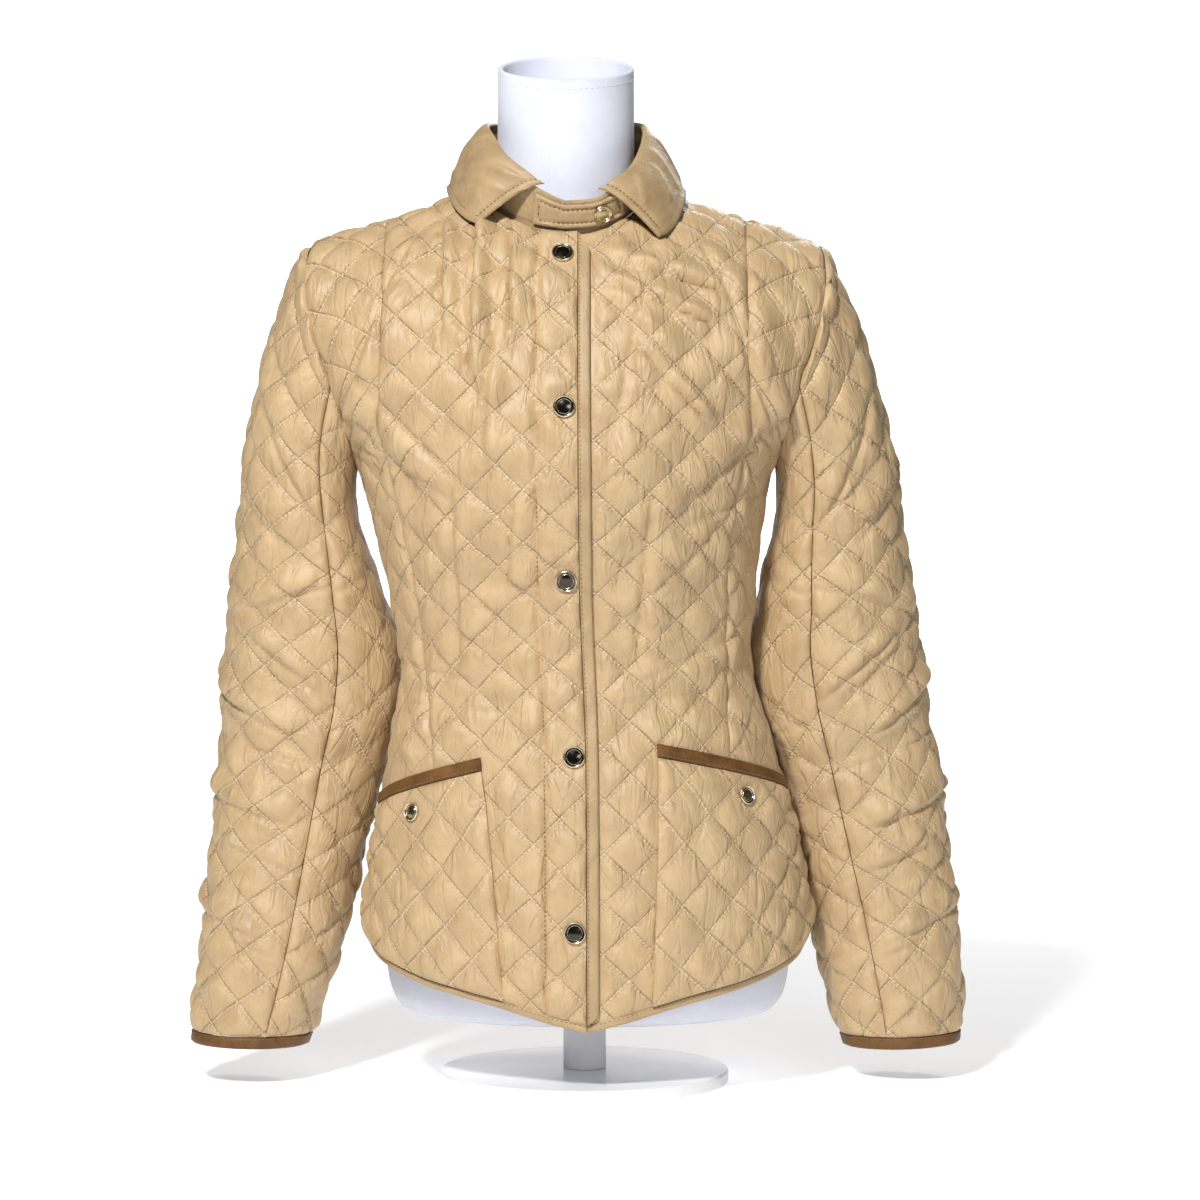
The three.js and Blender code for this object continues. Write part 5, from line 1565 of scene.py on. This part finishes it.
turned("post", "form_post", [(POST_RADIUS, 9.3), (POST_RADIUS, 49.7)])
disc_edge = [
    (DISC_RADIUS + DISC_ROUND * (math.sin(turn) - 1), DISC_TALL + DISC_ROUND * (math.cos(turn) - 1))
    for turn in np.linspace(math.pi / 2, 0, 7)
]
turned("disc", "form_base", [(DISC_RADIUS - 0.6, 0), (DISC_RADIUS, 0.6)] + disc_edge)
print("disc radius", DISC_RADIUS, "mm, thickness", DISC_TALL, "mm")

# %% [markdown]
# ## Sewing thread
# Seams that show are real thread on the real jacket: short stitches that sink into the cloth at
# each end. Each is a small rounded grain, laid along a line on the surface and joined with the
# rest of its seam into one piece. This thread is a shade darker than the cloth.

# %% Stitches along lines
GRAIN_RINGS = [(0.0, 0.0, -0.5), (0.16, 0.62, -0.1), (0.35, 0.95, 0.25), (0.65, 0.95, 0.25),
               (0.84, 0.62, -0.1), (1.0, 0.0, -0.5)]
GRAIN_SIDES = 5


def stitch_line(points, normals, length=2.4, gap=0.9, radius=0.38, lift=0.12):
    """Points and faces of stitches along a line on a surface."""
    step = np.linalg.norm(np.diff(points, axis=0), axis=1)
    distance = np.append(0, np.cumsum(step))
    count = max(int(distance[-1] / (length + gap)), 1)
    pitch = distance[-1] / count
    starts = (np.arange(count) + 0.5) * pitch - length / 2

    def at(where, values):
        return np.stack([np.interp(where, distance, values[:, k]) for k in range(3)], -1)

    middle_normal = unit(at(starts + length / 2, normals))
    along = unit(at(starts + length, points) - at(starts, points))
    across = unit(np.cross(along, middle_normal))
    grains = []
    for share, wide, high in GRAIN_RINGS:
        centre = at(starts + share * length, points) + middle_normal * (lift + high * radius)
        for k in range(GRAIN_SIDES):
            turn = 2 * np.pi * k / GRAIN_SIDES
            reach = max(wide, 0.05) * radius
            grains.append(centre + reach * (np.cos(turn) * across + np.sin(turn) * middle_normal))
    per = len(GRAIN_RINGS) * GRAIN_SIDES
    points_out = np.stack(grains, 1).reshape(-1, 3)
    one = grid_faces(len(GRAIN_RINGS) - 1, GRAIN_SIDES, tube=True).tolist()
    one.append(list(range(GRAIN_SIDES))[::-1])
    one.append([per - GRAIN_SIDES + k for k in range(GRAIN_SIDES)])
    faces = [[index + g * per for index in face] for g in range(count) for face in one]
    return points_out, faces


def sew(name, lines, finish=brown_thread, **settings):
    """One piece of thread from several lines, each (points, normals)."""
    all_points, all_faces, start = [], [], 0
    for points, normals in lines:
        made, faces = stitch_line(points, normals, **settings)
        all_points.append(made)
        all_faces += [[index + start for index in face] for face in faces]
        start += len(made)
    piece = add_mesh(name, np.concatenate(all_points), all_faces, finish)
    print(name, "stitches:", len(all_faces) // ((len(GRAIN_RINGS) - 1) * GRAIN_SIDES + 2))
    return piece


def on_grid(points, normals, at_rows, at_columns, height):
    """A line over a grid at fractional rows and columns, raised by a height."""
    rows, columns = np.broadcast_arrays(np.asarray(at_rows, float), np.asarray(at_columns, float))
    j = np.clip(rows.astype(int), 0, points.shape[0] - 2)
    i = np.clip(columns.astype(int), 0, points.shape[1] - 2)
    t, s = (rows - j)[:, None], (columns - i)[:, None]

    def mixed(values):
        below, above = (lerp(values[row, i], values[row, i + 1], s) for row in (j, j + 1))
        return lerp(below, above, t)

    facing = unit(mixed(normals))
    return mixed(points) + facing * height, facing


def inset_columns(points, distance):
    """Fractional columns that lie a distance inside the left and the right edge of each row."""
    across = lengths_along(points, 1)
    index = np.arange(across.shape[1])
    left = np.array([np.interp(distance, row, index) for row in across])
    right = np.array([np.interp(row[-1] - distance, row, index) for row in across])
    return left, right


def inset_rows(points, distance):
    return inset_columns(np.swapaxes(points, 0, 1), distance)


def rim_lines(points, normals, distance, height, bottom=False):
    """Seam lines that run a distance inside the edges of a grid."""
    left, right = inset_columns(points, distance)
    low, high = inset_rows(points, distance)
    rows, columns = np.arange(points.shape[0]), np.arange(points.shape[1])
    from_row = low[len(low) // 2] if bottom else 0
    rows = rows[(rows >= from_row) & (rows <= high[len(high) // 2])]
    columns = columns[(columns >= left[len(left) // 2]) & (columns <= right[len(right) // 2])]
    lines = [on_grid(points, normals, rows, side[rows], height) for side in (left, right)]
    for end in ([low] if bottom else []) + [high]:
        lines.append(on_grid(points, normals, end[columns], columns, height))
    return lines

# %% [markdown]
# ## Seams that show
# Topstitching runs along the collar, the tab, the leather, the placket and the hem. Each line is
# found on the grid of the piece that it holds, a set distance inside its edge.

# %% Sew the seams
sew("collar stitching", rim_lines(fall_points, fall_normals, COLLAR_BAND, FALL_THICK / 2 - 0.7))
sew("tab stitching", rim_lines(tab_points, tab_normals, TAB_BAND, TAB["thick"] / 2 - 0.6, bottom=True))

trim_lines = []
for side_name in POCKETS:
    points, normals = pocket_grid(side_name, 8, 56, True)
    columns = np.arange(1, 56, 0.5)
    row = np.full(columns.shape, 1.3)
    trim_lines.append(on_grid(points, normals, row, columns, POCKET_LIFT + TRIM - 0.1))
for points, normals in cuffs.values():
    looped = np.concatenate([points, points[:, :1]], 1), np.concatenate([normals, normals[:, :1]], 1)
    columns = np.arange(0, points.shape[1] + 0.5, 0.5)
    trim_lines.append(on_grid(*looped, np.full(columns.shape, 1.2), columns, TRIM - 0.2))
sew("leather stitching", trim_lines, length=2.0, gap=0.8, radius=0.34)

# The line that holds the facing of the right front, and the lines beside the bindings
z_line = np.linspace(90, 628, 400)
facing_points, facing_normals = body_surface(angle_at(centre_lean(z_line) - PLACKET, z_line), z_line)
facing_height = (lap_lift(facing_points) + WALL - 0.8)[:, None]
lapped = binding_points + binding_normals * lap_lift(binding_points)[..., None]
rows = np.arange(0, BINDING_ROWS + 0.5, 0.5)
sew("front stitching", [
    (facing_points + facing_normals * facing_height, facing_normals),
    on_grid(lapped, binding_normals, rows, np.full(rows.shape, 1.2), TRIM * 0.86),
])

hem_lines = []
for hem_name, (start_line, end_line, is_back) in HEM_ENDS.items():
    angle = np.linspace(start_line(HEM_Z), end_line(HEM_Z), 300)
    z = hem_of(angle) - 0.7
    points, normals = body_surface(angle, z, is_back)
    lift = lap_lift(points) if hem_name == "right" else 0 * z
    raised = points + normals * (lift + (TRIM - SEAM) * 0.88)[:, None]
    hem_lines.append((raised, normals))
sew("hem stitching", hem_lines)

turn_fine = np.linspace(0, 2 * np.pi, 500)
rim = neck_point(turn_fine, 1.0, 0, 7.0)
rim_out = unit(np.stack([np.sin(turn_fine), -np.cos(turn_fine), 0 * turn_fine], -1))
white_thread, *_ = toned("white thread", ((0.6, 0.61, 0.68), (0.72, 0.73, 0.8)), 400.0)
sew("neck hem stitching", [(rim, rim_out)], white_thread, length=3.0, gap=1.4, radius=0.4, lift=0.05)

# %% [markdown]
# ## The cut of each cloth piece
# Each piece of cloth is stated with the size that a cutter would cut for what shows of it,
# measured along the cloth, and goes with the bindings that are sewn to it.

# %% State the cloth
for cut_name, (piece, size, area, rests_on) in cuts.items():
    print(cut_name, [round(length, 3) for length in size], "m, area", round(area, 4), "square m")

# %% [markdown]
# ## Photograph setting
# The photograph shows the jacket alone on white, so the setting is a plain pale floor and
# backdrop. The main light is small and comes from the upper left, and weaker ones come from the
# right and from behind, so each diamond has a light and a shaded side.

# %% Setting and lights
def stage_box(name, low, high, colour, glow):
    corners = np.array([[x, y, z] for x in (low[0], high[0]) for y in (low[1], high[1])
                        for z in (low[2], high[2])], float)
    mesh = bpy.data.meshes.new(name)
    mesh.from_pydata(corners.tolist(), [], [(0, 1, 3, 2), (4, 6, 7, 5), (0, 4, 5, 1), (2, 3, 7, 6),
                                            (0, 2, 6, 4), (1, 5, 7, 3)])
    material, _, shader = new_material(name)
    shader.inputs["Base Color"].default_value = colour
    shader.inputs["Roughness"].default_value = 0.9
    shader.inputs["Specular IOR Level"].default_value = 0.1
    shader.inputs["Emission Color"].default_value = colour
    shader.inputs["Emission Strength"].default_value = glow
    mesh.materials.append(material)
    made = bpy.data.objects.new(name, mesh)
    bpy.context.collection.objects.link(made)


PALE = (0.93, 0.93, 0.94, 1)
stage_box("studio-floor", (-1.7, -1.2, -0.02), (1.7, 3.3, -0.0005), PALE, 0.42)
stage_box("studio-backdrop", (-1.25, 3.2, 0), (1.25, 3.25, 1.7), PALE, 1.0)


def soft_light(name, place, aim, size, power):
    light = bpy.data.lights.new(name, "AREA")
    light.shape = "DISK"
    light.size = size
    light.energy = power
    lamp = bpy.data.objects.new(name, light)
    lamp.location = place
    away = Vector(place) - Vector(aim)
    lamp.rotation_euler = away.to_track_quat("Z", "Y").to_euler()
    bpy.context.collection.objects.link(lamp)


soft_light("key-light", (-0.68, -2.05, 2.05), (0, 0, 0.42), 0.36, 88)
soft_light("fill-light", (0.9, -2.5, 0.9), (0, 0, 0.4), 0.6, 9)
soft_light("rim-light", (0.8, 1.9, 2.0), (0, 0, 0.4), 1.0, 26)
world = bpy.data.worlds.new("studio")
bpy.context.scene.world = world
world.use_nodes = True
world.node_tree.nodes["Background"].inputs["Color"].default_value = (0.97, 0.98, 1.0, 1)
world.node_tree.nodes["Background"].inputs["Strength"].default_value = 0.09
bpy.context.scene.view_settings.view_transform = "Standard"
print("lights:", {light.name: light.energy for light in bpy.data.lights})

# %% [markdown]
# ## Camera
# A long lens from 2.2 m gives the flat look that a shop wants. The camera is level, so the
# sides of the jacket don't lean.

# %% Camera
camera_data = bpy.data.cameras.new("camera")
camera_data.lens = 88
camera_data.sensor_width = 36
camera_data.dof.use_dof = False
camera = bpy.data.objects.new("camera", camera_data)
camera.location = (0.01611, -2.19786, 0.36)
camera.rotation_euler = (math.radians(90), 0, 0)
bpy.context.collection.objects.link(camera)
bpy.context.scene.camera = camera
print("camera at", tuple(camera.location), "lens", camera_data.lens, "mm")

# %% [markdown]
# ## Triangles in the finished model
# The fine model keeps to the size of the solids. The triangles of every mesh are counted, and
# the total and the five largest counts are printed.

# %% Count the triangles
import json

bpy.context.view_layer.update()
heavy = sorted((len(o.data.loop_triangles) or 2 * len(o.data.polygons), o.name)
               for o in bpy.data.objects if o.type == "MESH")
print("triangles in all", sum(count for count, _ in heavy), "most:", heavy[-5:])
